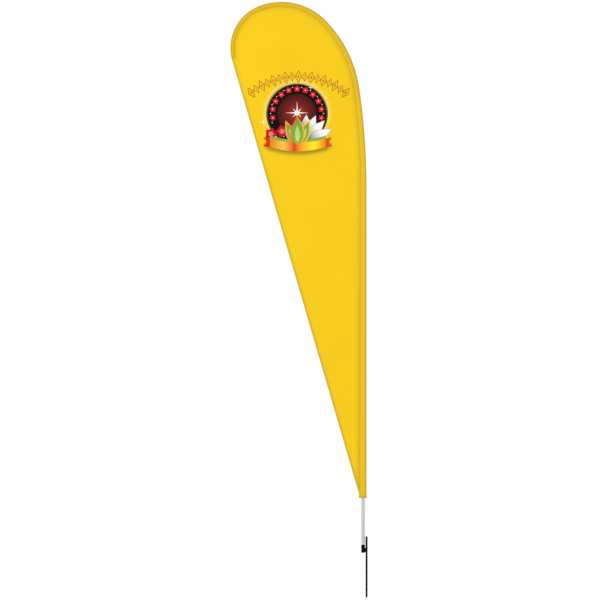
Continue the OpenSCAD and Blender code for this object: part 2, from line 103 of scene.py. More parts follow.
def bent(s):
    """How far round the bend: 0 where it starts, 1 at the pole's end."""
    return np.clip((np.asarray(s, float) - STRAIGHT) / BEND_LENGTH, 0, 1)


def outer(s):
    """From the pole's line out to the sleeve's fold."""
    return OUTER_EDGE[0] + (OUTER_EDGE[1] - OUTER_EDGE[0]) * bent(s)


def width(s):
    """Width of the sleeve, measured lying flat."""
    climb = np.clip((np.asarray(s, float) - MOUTH) / (STRAIGHT - MOUTH), 0, 1)
    return WIDTHS[0] + (WIDTHS[1] - WIDTHS[0]) * climb + (WIDTHS[2] - WIDTHS[1]) * bent(s)


def seam(s):
    """From the pole's line in to the seam between sleeve and panel."""
    return width(s) - outer(s)


def spots(start, end, spacing):
    """Even steps from start to end, each about as long as spacing."""
    return np.linspace(start, end, max(2, round((end - start) / spacing) + 1))


SEAM_S = spots(PANEL_FOOT, PATH_END + GAP, 0.006)
SEAM_X, SEAM_Z = beside(SEAM_S, seam(SEAM_S) + GAP)
SEAM_STEP = float(SEAM_S[1] - SEAM_S[0])
SEAM_WAY = np.gradient(np.stack([SEAM_X, SEAM_Z], -1), axis=0)
SEAM_WAY /= np.linalg.norm(SEAM_WAY, axis=1, keepdims=True)
CORNER = np.array([SEAM_X[0], SEAM_Z[0]])
TIP = np.array([float(c) for c in beside(PATH_END + GAP, -outer(PATH_END))])
EDGE_DIRECTION = (CORNER - TIP) / np.linalg.norm(CORNER - TIP)
EDGE_INWARD = np.array([-EDGE_DIRECTION[1], EDGE_DIRECTION[0]])
EDGE_LENGTH = float(np.linalg.norm(CORNER - TIP))


def smooth(value, low, high):
    """0 below low, 1 above high, with an eased slope between."""
    t = np.clip((value - low) / (high - low), 0, 1)
    return t * t * (3 - 2 * t)


def flutter(t, seed, waves):
    """A smooth irregular wave from -1 to 1 along t: a few sines of given lengths, with fixed phases."""
    phase = np.random.default_rng(seed).uniform(0, 2 * math.pi, len(waves))
    return sum(np.sin(2 * math.pi * t / length + p) for length, p in zip(waves, phase)) / len(waves)


def where_on_flag(x, z):
    """Distance from the seam, distance along it, distance from the free edge and distance along that."""
    x, z = np.asarray(x, float), np.asarray(z, float)
    nearest = np.empty(x.shape, int)
    to_seam = np.empty(x.shape)
    for i in range(0, len(x), CHUNK):
        part = slice(i, i + CHUNK)
        gap = np.hypot(x[part, None] - SEAM_X, z[part, None] - SEAM_Z)
        nearest[part] = gap.argmin(1)
        to_seam[part] = gap.min(1)
    slide = (x - SEAM_X[nearest]) * SEAM_WAY[nearest, 0] + (z - SEAM_Z[nearest]) * SEAM_WAY[nearest, 1]
    slide = np.clip(slide, -SEAM_STEP / 2, SEAM_STEP / 2)
    to_seam = np.sqrt(np.maximum(to_seam ** 2 - slide ** 2, 0))
    away = np.stack([x - TIP[0], z - TIP[1]], -1)
    return to_seam, SEAM_S[nearest] + slide, away @ EDGE_INWARD, away @ EDGE_DIRECTION


def relief(x, z):
    """How far the stretched cloth stands off its plane: billow, tension folds, seam and hem puckers."""
    to_seam, along, to_edge, down = where_on_flag(x, z)
    y = -0.006 * (1 - np.exp(-to_seam / 0.22)) * (1 - np.exp(-np.maximum(to_edge, 0) / 0.2))
    for corner, reach, size, waves, seed in ((TIP, 0.75, 0.0032, 7.0, 3), (CORNER, 1.0, 0.0022, 15.0, 8)):
        dx, dz = x - corner[0], z - corner[1]
        r = np.hypot(dx, dz)
        angle = np.arctan2(dx * EDGE_INWARD[0] + dz * EDGE_INWARD[1],
                           np.abs(dx * EDGE_DIRECTION[0] + dz * EDGE_DIRECTION[1]) + 1e-6)
        fold = flutter(angle * waves / (2 * math.pi), seed, (1.0, 0.61, 0.43))
        y = y + size * fold * np.exp(-r / reach) * smooth(r, 0.02, 0.25)
    y = y + 0.0011 * np.exp(-to_seam / 0.028) * flutter(along, 21, (0.061, 0.043, 0.089)) \
        * smooth(to_seam, 0.0, 0.008)
    y = y + 0.0012 * np.exp(-np.maximum(to_edge, 0) / 0.035) * flutter(down, 34, (0.16, 0.093, 0.27))
    return y * smooth(to_seam, 0.0, 0.006)


# --- mesh helpers

def link(name, mesh):
    piece = bpy.data.objects.new(name, mesh)
    bpy.context.scene.collection.objects.link(piece)
    return piece


def make_mesh(name, points, faces, crisp=None):
    """Smooth mesh; edges that turn by more than crisp degrees stay sharp."""
    mesh = bpy.data.meshes.new(name)
    mesh.from_pydata([tuple(map(float, p)) for p in points], [], [tuple(map(int, f)) for f in faces])
    mesh.validate()
    mesh.polygons.foreach_set("use_smooth", [True] * len(mesh.polygons))
    if crisp:
        mesh.set_sharp_from_angle(angle=math.radians(crisp))
    return mesh


def set_uv(mesh, per_point):
    """A UV map in metres along the cloth, from one (u, v) for each point."""
    layer = mesh.uv_layers.new(name="cloth")
    corners = np.empty(len(mesh.loops), int)
    mesh.loops.foreach_get("vertex_index", corners)
    layer.data.foreach_set("uv", np.asarray(per_point, float)[corners].ravel())


def inside(outline, x, z):
    """Which points lie inside a closed outline."""
    result = np.zeros(x.shape, bool)
    for (x0, z0), (x1, z1) in zip(outline, np.roll(outline, -1, axis=0)):
        if z0 != z1:
            result ^= ((z0 > z) != (z1 > z)) & (x < (x1 - x0) * (z - z0) / (z1 - z0) + x0)
    return result


def signed_area(outline):
    """Area of a flat outline; negative when its points run clockwise."""
    ahead = np.roll(outline, -1, 0)
    return float((outline[:, 0] * ahead[:, 1] - outline[:, 1] * ahead[:, 0]).sum() / 2)


def resample(outline, spacing):
    """The closed outline with points added so that no side is longer than spacing."""
    points = []
    for start, end in zip(outline, np.roll(outline, -1, axis=0)):
        count = max(1, math.ceil(float(np.hypot(*(end - start))) / spacing - 1e-6))
        points += [start + (end - start) * k / count for k in range(count)]
    return np.array(points)


def fill(outline, spacing, holes=()):
    """Even triangles over a flat outline with holes: (points, triangles)."""
    rims = [resample(np.asarray(rim, float), spacing) for rim in (outline, *holes)]
    low, high = rims[0].min(0), rims[0].max(0)
    rows = np.arange(low[1], high[1], spacing * math.sqrt(0.75))
    columns = np.arange(low[0], high[0], spacing)
    grid = [(x + (k % 2) * spacing / 2, z) for k, z in enumerate(rows) for x in columns]
    grid = np.array(grid).reshape(-1, 2)
    keep = inside(rims[0], grid[:, 0], grid[:, 1])
    for hole in rims[1:]:
        keep &= ~inside(hole, grid[:, 0], grid[:, 1])
    grid = grid[keep]
    rim_points = np.concatenate(rims)
    clear = np.ones(len(grid), bool)
    for i in range(0, len(grid), CHUNK):
        part = grid[i:i + CHUNK]
        gap = np.hypot(part[:, None, 0] - rim_points[:, 0], part[:, None, 1] - rim_points[:, 1]).min(1)
        clear[i:i + CHUNK] = gap > spacing * RIM_CLEAR
    points = np.concatenate([rim_points, grid[clear]])
    loops, start = [], 0
    for rim in rims:
        loops.append(list(range(start, start + len(rim))))
        start += len(rim)
    edges = [(a, b) for loop in loops for a, b in zip(loop, loop[1:] + loop[:1])]
    got = delaunay_2d_cdt([Vector(p) for p in points], edges, [], 1, 1e-7)
    placed = np.array([tuple(v) for v in got[0]])
    triangles = np.array([f for f in got[2] if len(f) == 3])
    middle = placed[triangles].mean(1)
    for hole in rims[1:]:
        solid = ~inside(hole, middle[:, 0], middle[:, 1])
        triangles, middle = triangles[solid], middle[solid]
    return placed, triangles


def rim_edges(triangles):
    """The directed edges that only one triangle has."""
    seen = set()
    for a, b, c in triangles:
        seen |= {(a, b), (b, c), (c, a)}
    return [(a, b) for a, b in seen if (b, a) not in seen]


def thick_sheet(points, triangles, front_y, back_y):
    """Closed sheet over flat points in x and z: its front face, back face and rim. front_y is the lower y."""
    count = len(points)
    a, b, c = (points[triangles[:, i]] for i in range(3))
    turn = (b[:, 0] - a[:, 0]) * (c[:, 1] - a[:, 1]) - (b[:, 1] - a[:, 1]) * (c[:, 0] - a[:, 0])
    triangles = np.where((turn > 0)[:, None], triangles, triangles[:, ::-1])
    front = np.stack([points[:, 0], front_y, points[:, 1]], -1)
    back = np.stack([points[:, 0], back_y, points[:, 1]], -1)
    faces = [tuple(t) for t in triangles] + [tuple(t + count) for t in triangles[:, ::-1]]
    faces += [(b, a, a + count, b + count) for a, b in rim_edges(triangles)]
    return np.concatenate([front, back]), faces


def loft(loops, closed_ends=False):
    """Points and faces of a skin through closed loops of the same number of points."""
    rings, count = len(loops), len(loops[0])
    faces = [(k + i, k + (i + 1) % count, k + count + (i + 1) % count, k + count + i)
             for k in range(0, (rings - 1) * count, count) for i in range(count)]
    if closed_ends:
        faces += [tuple(reversed(range(count))), tuple((rings - 1) * count + i for i in range(count))]
    return np.concatenate(loops), faces


def tube(outside, inside_loops):
    """Points and faces of a wall between outside loops and inside loops, closed at both ends."""
    points, faces = loft(outside)
    inner_points, inner_faces = loft(inside_loops)
    count, offset = len(outside[0]), len(points)
    faces += [tuple(i + offset for i in reversed(face)) for face in inner_faces]
    last = offset - count
    for i in range(count):
        j = (i + 1) % count
        faces.append((j, i, offset + i, offset + j))
        faces.append((last + i, last + j, offset + last + j, offset + last + i))
    return np.concatenate([points, inner_points]), faces


def joined(parts):
    """Points and faces of several (points, faces) as one."""
    points, faces = [], []
    for more, more_faces in parts:
        faces += [tuple(i + len(points) for i in face) for face in more_faces]
        points += list(more)
    return points, faces


def finish_piece(piece, material, stands_for=(), body=BODY):
    """Gives a piece its material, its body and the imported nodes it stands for."""
    piece.data.materials.clear()
    piece.data.materials.append(material)
    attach(piece, body)
    if stands_for:
        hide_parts(*stands_for)
    return piece


def make_piece(name, skin, material, stands_for=(), body=BODY, crisp=None, uv=None, doubled_shade=None):
    """A finished piece from its (points, faces), with a UV map and a per-point share of painted shade if
    given.
    """
    mesh = make_mesh(name, *skin, crisp)
    if uv is not None:
        set_uv(mesh, uv)
    if doubled_shade is not None:
        mesh.attributes.new("doubled_shade", "FLOAT", "POINT").data.foreach_set("value", np.asarray(doubled_shade, float))
    return finish_piece(link(name, mesh), material, stands_for, body)


# --- shader helpers and shared groups

def add(tree, kind, inputs=None, **settings):
    """A new node; an input that is given a socket is linked to it, and any other is set."""
    node = tree.nodes.new(kind)
    for key, value in settings.items():
        setattr(node, key, value)
    for key, value in (inputs or {}).items():
        if isinstance(value, bpy.types.NodeSocket):
            tree.links.new(value, node.inputs[key])
        else:
            node.inputs[key].default_value = value
    return node


def math_node(tree, operation, a, b=0.0, c=0.0, clamp=False):
    return add(tree, "ShaderNodeMath", {0: a, 1: b, 2: c}, operation=operation, use_clamp=clamp).outputs[0]


def vector_math(tree, operation, a, b=(0.0, 0.0, 0.0)):
    return add(tree, "ShaderNodeVectorMath", {0: a, 1: b}, operation=operation).outputs


def remap(tree, value, low=0.0, high=1.0, start=0.0, end=1.0, ease=False):
    """value going from start to end becomes low to high, eased at both ends if asked."""
    node = add(tree, "ShaderNodeMapRange", {"Value": value, "From Min": start, "From Max": end,
                                            "To Min": low, "To Max": high})
    if ease:
        node.interpolation_type = "SMOOTHSTEP"
    return node.outputs[0]


def mix_colour(tree, share, a, b, blend="MIX"):
    node = add(tree, "ShaderNodeMix", {0: share, 6: a, 7: b}, data_type="RGBA", blend_type=blend)
    return node.outputs[2]


def noise(tree, place, scale, detail, roughness=0.5):
    return add(tree, "ShaderNodeTexNoise", {"Vector": place, "Scale": scale, "Detail": detail,
                                            "Roughness": roughness}).outputs["Fac"]


def open_group(name, vectors=("Vector",), **floats):
    """A shader group with these inputs: (tree, its inputs' sockets)."""
    tree = bpy.data.node_groups.new(name, "ShaderNodeTree")
    for label in vectors:
        tree.interface.new_socket(label, in_out="INPUT", socket_type="NodeSocketVector")
    for label, value in floats.items():
        tree.interface.new_socket(label, in_out="INPUT", socket_type="NodeSocketFloat").default_value = value
    return tree, tree.nodes.new("NodeGroupInput").outputs


def close_group(tree, **values):
    """The finished group, which gives these values."""
    for label in values:
        tree.interface.new_socket(label, in_out="OUTPUT", socket_type="NodeSocketFloat")
    out = tree.nodes.new("NodeGroupOutput")
    for label, value in values.items():
        tree.links.new(value, out.inputs[label])
    return tree


def weave_group():
    """Plain weave: Height of the yarns, and a Shade that is darker between them."""
    tree, given = open_group("Weave", Pitch=0.0008)
    axes = add(tree, "ShaderNodeSeparateXYZ", {0: given["Vector"]}).outputs
    turns = math_node(tree, "DIVIDE", 2 * math.pi, given["Pitch"])
    waves = [math_node(tree, "SINE", math_node(tree, "MULTIPLY", axis, turns)) for axis in axes[:2]]
    over = math_node(tree, "MULTIPLY", *waves)
    yarn = noise(tree, given["Vector"], 700.0, 2.0)
    return close_group(tree, Height=math_node(tree, "MULTIPLY_ADD", over, 0.4, yarn),
                       Shade=math_node(tree, "MULTIPLY_ADD", over, 0.5, 0.5, clamp=True))


def blotch_group():
    """Slow uneven variation, as in dye, coating or handling marks: Share from 0 to 1."""
    tree, given = open_group("Blotch", Size=0.1)
    patches = noise(tree, given["Vector"], math_node(tree, "DIVIDE", 1.0, given["Size"]), 4.0, 0.6)
    return close_group(tree, Share=remap(tree, patches, start=0.3, end=0.7))


def drawn_group():
    """Fine lines along Z, as on drawn tube and rod: Line from 0 to 1, and their Height."""
    tree, given = open_group("Drawn lines", Fineness=1500.0)
    stretched = vector_math(tree, "MULTIPLY", given["Vector"], (1.0, 1.0, 0.012))[0]
    lines = noise(tree, stretched, given["Fineness"], 3.0)
    return close_group(tree, Height=lines, Line=remap(tree, lines, start=0.35, end=0.65))


def grain_group():
    """Fine pebble of a moulded or powder-coated surface: Height, and Scuff where it has been rubbed."""
    tree, given = open_group("Grain", Size=0.0006)
    scale = math_node(tree, "DIVIDE", 1.0, given["Size"])
    pebble = add(tree, "ShaderNodeTexVoronoi", {"Vector": given["Vector"], "Scale": scale},
                 feature="SMOOTH_F1")
    stretched = vector_math(tree, "MULTIPLY", given["Vector"], (1.0, 1.0, 0.25))[0]
    rub = noise(tree, stretched, 160.0, 6.0, 0.7)
    return close_group(tree, Height=pebble.outputs["Distance"], Scuff=remap(tree, rub, start=0.58, end=0.75))


def span_group():
    """Share of the way across a print: along Span from Origin, or outwards from Origin in units of Reach."""
    tree, given = open_group("Print span", ("Vector", "Origin", "Span"), Reach=0.1)
    away = vector_math(tree, "SUBTRACT", given["Vector"], given["Origin"])[0]
    flat = vector_math(tree, "MULTIPLY", away, (1.0, 0.0, 1.0))[0]
    along = vector_math(tree, "DOT_PRODUCT", flat, given["Span"])["Value"]
    square = vector_math(tree, "DOT_PRODUCT", given["Span"], given["Span"])["Value"]
    reach = vector_math(tree, "LENGTH", flat)["Value"]
    return close_group(tree, Along=math_node(tree, "DIVIDE", along, square),
                       Outwards=math_node(tree, "DIVIDE", reach, given["Reach"]))


WEAVE, BLOTCH, DRAWN, GRAIN, SPAN = weave_group(), blotch_group(), drawn_group(), grain_group(), span_group()


class Finish:
    """A material being made: its tree, its Principled shader and its Object coordinates."""

    def __init__(self, name, **constants):
        self.material = bpy.data.materials.new(name)
        self.material.use_nodes = True
        self.tree = self.material.node_tree
        self.shader = self.tree.nodes["Principled BSDF"]
        for socket, value in constants.items():
            self.shader.inputs[socket.replace("_", " ")].default_value = value
        self.place = self.tree.nodes.new("ShaderNodeTexCoord").outputs["Object"]

    def group(self, tree, **inputs):
        return add(self.tree, "ShaderNodeGroup", inputs, node_tree=tree).outputs

    def drive(self, socket, value):
        self.tree.links.new(value, self.shader.inputs[socket])

    def paint(self, share, dark, light, blend="MIX"):
        self.drive("Base Color", mix_colour(self.tree, share, dark, light, blend))

    def bump(self, height, distance):
        node = add(self.tree, "ShaderNodeBump", {"Height": height, "Distance": distance})
        self.drive("Normal", node.outputs[0])

    def roughen(self, share, low, high):
        self.drive("Roughness", remap(self.tree, share, low, high))

    def axes(self):
        return add(self.tree, "ShaderNodeSeparateXYZ", {0: self.place}).outputs

    def weave(self, pitch=WEAVE_PITCH, along=None):
        """The weave along a given vector, or else square to the flag's plane."""
        if along is None:
            x, _, z = self.axes()
            along = add(self.tree, "ShaderNodeCombineXYZ", {0: x, 1: z}).outputs[0]
        return self.group(WEAVE, Vector=along, Pitch=pitch)


def rgba(red, green, blue):
    return (red, green, blue, 1.0)


# --- cloth materials

YELLOW = rgba(0.818, 0.531, 0.0078)
# painted shade: the panel's yellow darkened for the shade by its seam and free edge, where the cloth lies
# double
YELLOW_SHADED = rgba(0.670, 0.432, 0.0140)
# painted shade: the sleeve's whole yellow darker, for the light held back by its two thicknesses of cloth and
# the pole behind
SLEEVE_YELLOW_SHADED = rgba(0.732, 0.475, 0.0110)
# painted shade: the darkest yellow, at the sleeve's folds and seam and on the hems
CLOTH_FOLD_SHADE = rgba(0.520, 0.360, 0.0150)
CLOTH_CONSTANTS = dict(Sheen_Weight=0.04, Sheen_Roughness=0.5, Specular_IOR_Level=0.12)


def cloth_finish(name, plain, doubled_shade, by_uv=True):
    """Printed polyester: plain where there is one layer, and mixed towards a painted shade colour by a
    per-point share, where the cloth lies double, along seams and folds, and at hems.
    """
    made = Finish(name, **CLOTH_CONSTANTS)
    tree = made.tree
    weave = made.weave(along=add(tree, "ShaderNodeUVMap", uv_map="cloth").outputs[0] if by_uv else None)
    blotch = made.group(BLOTCH, Vector=made.place, Size=0.35)
    # painted shade: a per-point share from 0 to 1 mixes the plain colour towards the shaded one
    shade_share = add(tree, "ShaderNodeAttribute", attribute_name="doubled_shade").outputs["Fac"]
    base = mix_colour(tree, shade_share, plain, doubled_shade)
    level = math_node(tree, "MULTIPLY", remap(tree, blotch["Share"], 0.975, 1.02),
                      remap(tree, weave["Shade"], 0.955, 1.03))
    made.colour = mix_colour(tree, 1.0, base, level, "MULTIPLY")
    made.drive("Base Color", made.colour)
    made.roughen(weave["Shade"], 0.92, 0.74)
    made.bump(weave["Height"], WEAVE_DEPTH)
    return made


# --- the printed badge: leaves over a disc

BADGE = np.array([-0.497, 3.151])
BADGE_R = 0.221
ARC_CENTRE = np.array([-0.487, 2.868])
ARC_R = 0.548
RIBBON_FOOT = np.array([-0.492, 2.955])
RIBBON_REACH, RIBBON_SAG = 0.200, 0.030
RIBBON_LOW, RIBBON_HIGH = -0.074, -0.012
LAYER = 0.00005                   # how much higher each printed layer lies than the one below
PRINT_LIFT = 0.00006              # added under the lowest layer, so the panel's facets don't come through
SEAM_INKS = ("gold", "edge_gold")  # these come close to the puckered seam
HIDDEN_BLOSSOMS = range(6, 13)    # blossoms of the ring that the leaves and petals cover


def round_outline(centre, radius, sides=96):
    turns = np.linspace(0, 2 * math.pi, sides, endpoint=False)
    return centre + radius * np.stack([np.cos(turns), np.sin(turns)], -1)


def polar(centre, radius, degrees):
    """The point at a radius from a centre; 0 degrees is straight up and positive turns towards +X."""
    angle = math.radians(degrees)
    return centre + radius * np.array([math.sin(angle), math.cos(angle)])


def star_outline(centre, points, long, short, turn=0.0, other=None):
    """Star with pointed arms; every other arm is as long as other, if that is given."""
    reaches = [long, short, other or long, short]
    return np.array([polar(centre, reaches[k % 4], turn + 180 * k / points) for k in range(2 * points)])


def lozenge(centre, turn, half_width, half_height):
    corners = np.array([[0, half_height], [half_width, 0], [0, -half_height], [-half_width, 0]])
    a = math.radians(turn)
    return centre + corners @ np.array([[math.cos(a), -math.sin(a)], [math.sin(a), math.cos(a)]])


def leaf(root, tip, half_width):
    """Pointed leaf from root to tip."""
    rise = tip - root
    t = np.linspace(0, 1, 16)[:, None]
    bulge = half_width * np.sin(math.pi * t ** 0.8) * np.array([-rise[1], rise[0]]) / np.linalg.norm(rise)
    line = root + t * rise
    return np.concatenate([line + bulge, (line - bulge)[-2:0:-1]])


def ribbon_curve(x):
    return RIBBON_SAG * (x / RIBBON_REACH) ** 2


def band(low, high):
    """Ribbon hung in a curve across the badge: its lower and upper edges at heights from RIBBON_FOOT."""
    x = np.linspace(-RIBBON_REACH, RIBBON_REACH, 25)
    lower, upper = (np.stack([x, height + ribbon_curve(x)], -1) for height in (low, high))
    return RIBBON_FOOT + np.concatenate([upper, lower[::-1]])


def ribbon_shapes():
    """A blank ribbon: its front with a green edge behind it, and a forked tail folded back at each end."""
    shapes = [("green", 15, band(RIBBON_HIGH - 0.004, RIBBON_HIGH + 0.020)),
              ("orange", 17, band(RIBBON_LOW, RIBBON_HIGH))]
    low, high = RIBBON_LOW + RIBBON_SAG, RIBBON_HIGH + RIBBON_SAG
    notch = (low + high) / 2 + 0.008
    tail = [(0.150, low - 0.010), (0.247, low + 0.006), (0.222, notch), (0.247, high + 0.008),
            (0.150, high - 0.008)]
    inner = RIBBON_REACH - 0.036
    fold = [(RIBBON_REACH, low + 0.001), (inner, low - 0.010), (inner, low)]
    for side in (-1, 1):
        shapes += [("ember", 13, RIBBON_FOOT + np.array(tail) * [side, 1]),
                   ("maroon", 14, RIBBON_FOOT + np.array(fold) * [side, 1])]
    return shapes


def unit(vectors):
    return vectors / np.linalg.norm(vectors, axis=1, keepdims=True)


def grown(outline, amount):
    """The outline pushed outwards all round, for a border."""
    outline = np.asarray(outline, float)
    ahead, behind = np.roll(outline, -1, 0) - outline, outline - np.roll(outline, 1, 0)
    way = math.copysign(1, signed_area(outline))
    normals = [np.stack([v[:, 1], -v[:, 0]], -1) * way for v in (unit(ahead), unit(behind))]
    corner = unit(normals[0] + normals[1])
    blunt = 0.45      # the border of a sharp corner ends at this share of its full point
    reach = amount / np.maximum(blunt, (corner * normals[0]).sum(1))
    return outline + corner * reach[:, None]


def badge_layers():
    """Every printed shape: (ink, layer, outline)."""
    shapes = [("rim_gold", 1, round_outline(BADGE, BADGE_R)),
              ("black", 2, round_outline(BADGE, BADGE_R * 0.955)),
              ("maroon", 3, round_outline(BADGE, BADGE_R * 0.64))]
    for k in range(18):
        spot = polar(BADGE, BADGE_R * 0.80, 20 * k)
        if k not in HIDDEN_BLOSSOMS:
            shapes += [("red", 3, star_outline(spot, 5, 0.0250, 0.0155, 20 * k)),
                       ("rose", 4, round_outline(spot, 0.0055, 12))]
        shapes.append(("white", 3, round_outline(polar(BADGE, BADGE_R * 0.86, 20 * k + 10), 0.0036, 10)))
    middle = BADGE + [0.0, 0.005]
    shapes += [("white", 4, star_outline(middle, 8, 0.085, 0.013, other=0.046)),
               ("white", 5, round_outline(middle, 0.0175, 24)),
               ("white", 6, star_outline(BADGE + [0.098, 0.186], 4, 0.022, 0.0032)),
               ("white", 1, star_outline(BADGE + [-0.240, -0.062], 4, 0.030, 0.0035))]
    for k in range(-8, 9):
        turn = k * 4.75
        spot = polar(ARC_CENTRE, ARC_R, turn)
        if k % 2:
            shape, eye = star_outline(spot, 4, 0.026, 0.011, turn), round_outline(spot, 0.0045, 12)
        else:
            shape, eye = lozenge(spot, turn, 0.018, 0.036), lozenge(spot, turn, 0.0060, 0.0145)
        first = 1 + 3 * (k % 2)
        shapes += [("edge_gold", first, grown(shape, 0.0050)), ("gold", first + 1, shape),
                   ("edge_gold", first + 2, eye)]
    petals = [((0.050, 0.030), (0.062, 0.188)), ((0.060, 0.024), (0.128, 0.180)),
              ((0.070, 0.016), (0.190, 0.145)), ((0.080, 0.008), (0.240, 0.082))]
    for k, (root, tip) in enumerate(petals):
        outline = leaf(RIBBON_FOOT + root, RIBBON_FOOT + tip, 0.035)
        shapes += [("grey", 7 + 2 * k, grown(outline, 0.0022)), ("silver", 8 + 2 * k, outline)]
    for k, (dx, dz, turn) in enumerate(((-0.192, 0.050, 20), (-0.112, 0.068, -15))):
        gem = star_outline(RIBBON_FOOT + [dx, dz], 5, 0.046, 0.034, turn)
        heart = star_outline(gem.mean(0), 5, 0.022, 0.015, turn)
        shapes += [("red", 5 + 2 * k, gem), ("rose", 6 + 2 * k, heart)]
    sprout = [((-0.015, -0.020), (-0.080, 0.128), 0.030), ((0.020, -0.020), (0.078, 0.136), 0.030),
              ((0.000, -0.030), (-0.004, 0.166), 0.043)]
    for k, (root, tip, half_width) in enumerate(sprout):
        root, tip = RIBBON_FOOT + root, RIBBON_FOOT + tip
        rise = tip - root
        blade = leaf(root, tip, half_width)
        vein = leaf(root + rise * 0.12, root + rise * 0.74, half_width * 0.42)
        shapes += [("orange", 18 + 3 * k, grown(blade, 0.009)), ("green", 19 + 3 * k, blade),
                   ("lime", 20 + 3 * k, vein)]
    return shapes + ribbon_shapes()


DISC_SPAN = (BADGE - [0, BADGE_R], BADGE + [0, BADGE_R])
ARC_SPAN = (BADGE + [0, 0.1], BADGE + [0, 0.3])
PETAL_SPAN = (RIBBON_FOOT + [0.05, 0.05], RIBBON_FOOT + [0.18, 0.15])

# each ink: the two ends of its span, or None for outwards from the badge; then share, red, green, blue
INKS = {
    "rim_gold": (DISC_SPAN, [(0.0, 0.035, 0.030, 0.006), (0.5, 0.10, 0.08, 0.012), (0.85, 0.36, 0.29, 0.05),
                             (1.0, 0.50, 0.42, 0.10)]),
    "black": (DISC_SPAN, [(0.0, 0.004, 0.004, 0.004), (1.0, 0.007, 0.006, 0.006)]),
    "maroon": (None, [(0.0, 0.42, 0.035, 0.022), (0.45, 0.17, 0.016, 0.013), (1.0, 0.018, 0.007, 0.006)]),
    "red": (DISC_SPAN, [(0.0, 0.42, 0.004, 0.010), (1.0, 0.78, 0.020, 0.035)]),
    "rose": ((RIBBON_FOOT + [0, 0.08], RIBBON_FOOT + [0, 0.16]),
             [(0.0, 0.80, 0.16, 0.17), (1.0, 0.88, 0.34, 0.34)]),
    "white": (None, [(0.0, 0.86, 0.86, 0.84), (1.0, 0.80, 0.74, 0.70)]),
    "gold": (ARC_SPAN, [(0.0, 0.84, 0.40, 0.012), (1.0, 0.83, 0.50, 0.030)]),
    "edge_gold": (ARC_SPAN, [(0.0, 0.36, 0.17, 0.008), (1.0, 0.40, 0.21, 0.012)]),
    "silver": (PETAL_SPAN, [(0.0, 0.16, 0.16, 0.16), (0.55, 0.80, 0.80, 0.79), (1.0, 0.90, 0.90, 0.89)]),
    "grey": (PETAL_SPAN, [(0.0, 0.05, 0.05, 0.05), (1.0, 0.30, 0.30, 0.30)]),
    "green": ((RIBBON_FOOT, RIBBON_FOOT + [0, 0.27]),
              [(0.0, 0.24, 0.40, 0.05), (0.6, 0.16, 0.30, 0.05), (1.0, 0.02, 0.055, 0.010)]),
    "lime": ((RIBBON_FOOT, RIBBON_FOOT + [0, 0.22]), [(0.0, 0.50, 0.66, 0.20), (1.0, 0.30, 0.48, 0.10)]),
    "orange": ((RIBBON_FOOT - [0.20, 0], RIBBON_FOOT + [0.24, 0]),
               [(0.0, 0.72, 0.18, 0.010), (0.22, 0.85, 0.50, 0.06), (0.40, 0.72, 0.035, 0.010),
                (0.52, 0.85, 0.36, 0.02), (0.72, 0.86, 0.72, 0.02), (0.86, 0.82, 0.30, 0.01),
                (1.0, 0.72, 0.012, 0.012)]),
    "ember": ((RIBBON_FOOT - [0.24, 0], RIBBON_FOOT + [0.24, 0]),
              [(0.0, 0.62, 0.03, 0.012), (0.5, 0.50, 0.045, 0.010), (1.0, 0.60, 0.10, 0.012)]),
}


def ink_finish(ink):
    """Ink printed into the cloth: the cloth's weave in the ink's own colours."""
    ends, stops = INKS[ink]
    made = Finish("print_" + ink, Specular_IOR_Level=0.04)
    start, end = ends or (BADGE, BADGE + [BADGE_R * 0.7, 0])
    way = end - start
    span = made.group(SPAN, Vector=made.place, Origin=(start[0], 0, start[1]), Span=(way[0], 0, way[1]),
                      Reach=float(np.linalg.norm(way)))
    ramp = add(made.tree, "ShaderNodeValToRGB", {0: span["Along" if ends else "Outwards"]})
    while len(ramp.color_ramp.elements) < len(stops):
        ramp.color_ramp.elements.new(0.5)
    for element, (share, *colour) in zip(ramp.color_ramp.elements, stops):
        element.position, element.color = share, rgba(*colour)
    weave = made.weave()
    made.paint(1.0, ramp.outputs[0], remap(made.tree, weave["Shade"], 0.94, 1.04), "MULTIPLY")
    made.roughen(weave["Shade"], 0.9, 0.72)
    made.bump(weave["Height"], WEAVE_DEPTH)
    return made.material


def print_badge():
    """One piece for each ink, on both faces of the panel, since the dye goes through the cloth."""
    shapes = badge_layers()
    prints = []
    for ink in INKS:
        skins = []
        for _, layer, outline in (shape for shape in shapes if shape[0] == ink):
            flat, triangles = fill(outline, FINE_SPACING if ink in SEAM_INKS else PRINT_SPACING)
            middle = relief(flat[:, 0], flat[:, 1])
            for face in (-1, 1):
                near = middle + face * CLOTH * 0.3
                proud = middle + face * (CLOTH / 2 + PRINT_LIFT + LAYER * layer)
                low, high = (proud, near) if face < 0 else (near, proud)
                skins.append(thick_sheet(flat, triangles, low, high))
        prints.append(make_piece("print_" + ink, joined(skins), ink_finish(ink), crisp=40))
    return prints


# --- the flag's cloth pieces

def ribbon_shadow(made):
    """Share of shadow: strongest along the ribbon's lower edge, fading out below it and past its two ends."""
    tree = made.tree
    x, _, z = made.axes()
    across = math_node(tree, "DIVIDE", math_node(tree, "SUBTRACT", x, RIBBON_FOOT[0]), RIBBON_REACH)
    sag = math_node(tree, "MULTIPLY", math_node(tree, "MULTIPLY", across, across), RIBBON_SAG)
    above = math_node(tree, "SUBTRACT", z, RIBBON_FOOT[1] + RIBBON_LOW)
    off = math_node(tree, "ABSOLUTE", math_node(tree, "SUBTRACT", above, sag))
    fade = remap(tree, off, 0.72, 0.0, 0.004, 0.046, ease=True)
    ends = remap(tree, math_node(tree, "ABSOLUTE", across), 1.0, 0.0, 1.0, 1.3, ease=True)
    return math_node(tree, "MULTIPLY", fade, ends)


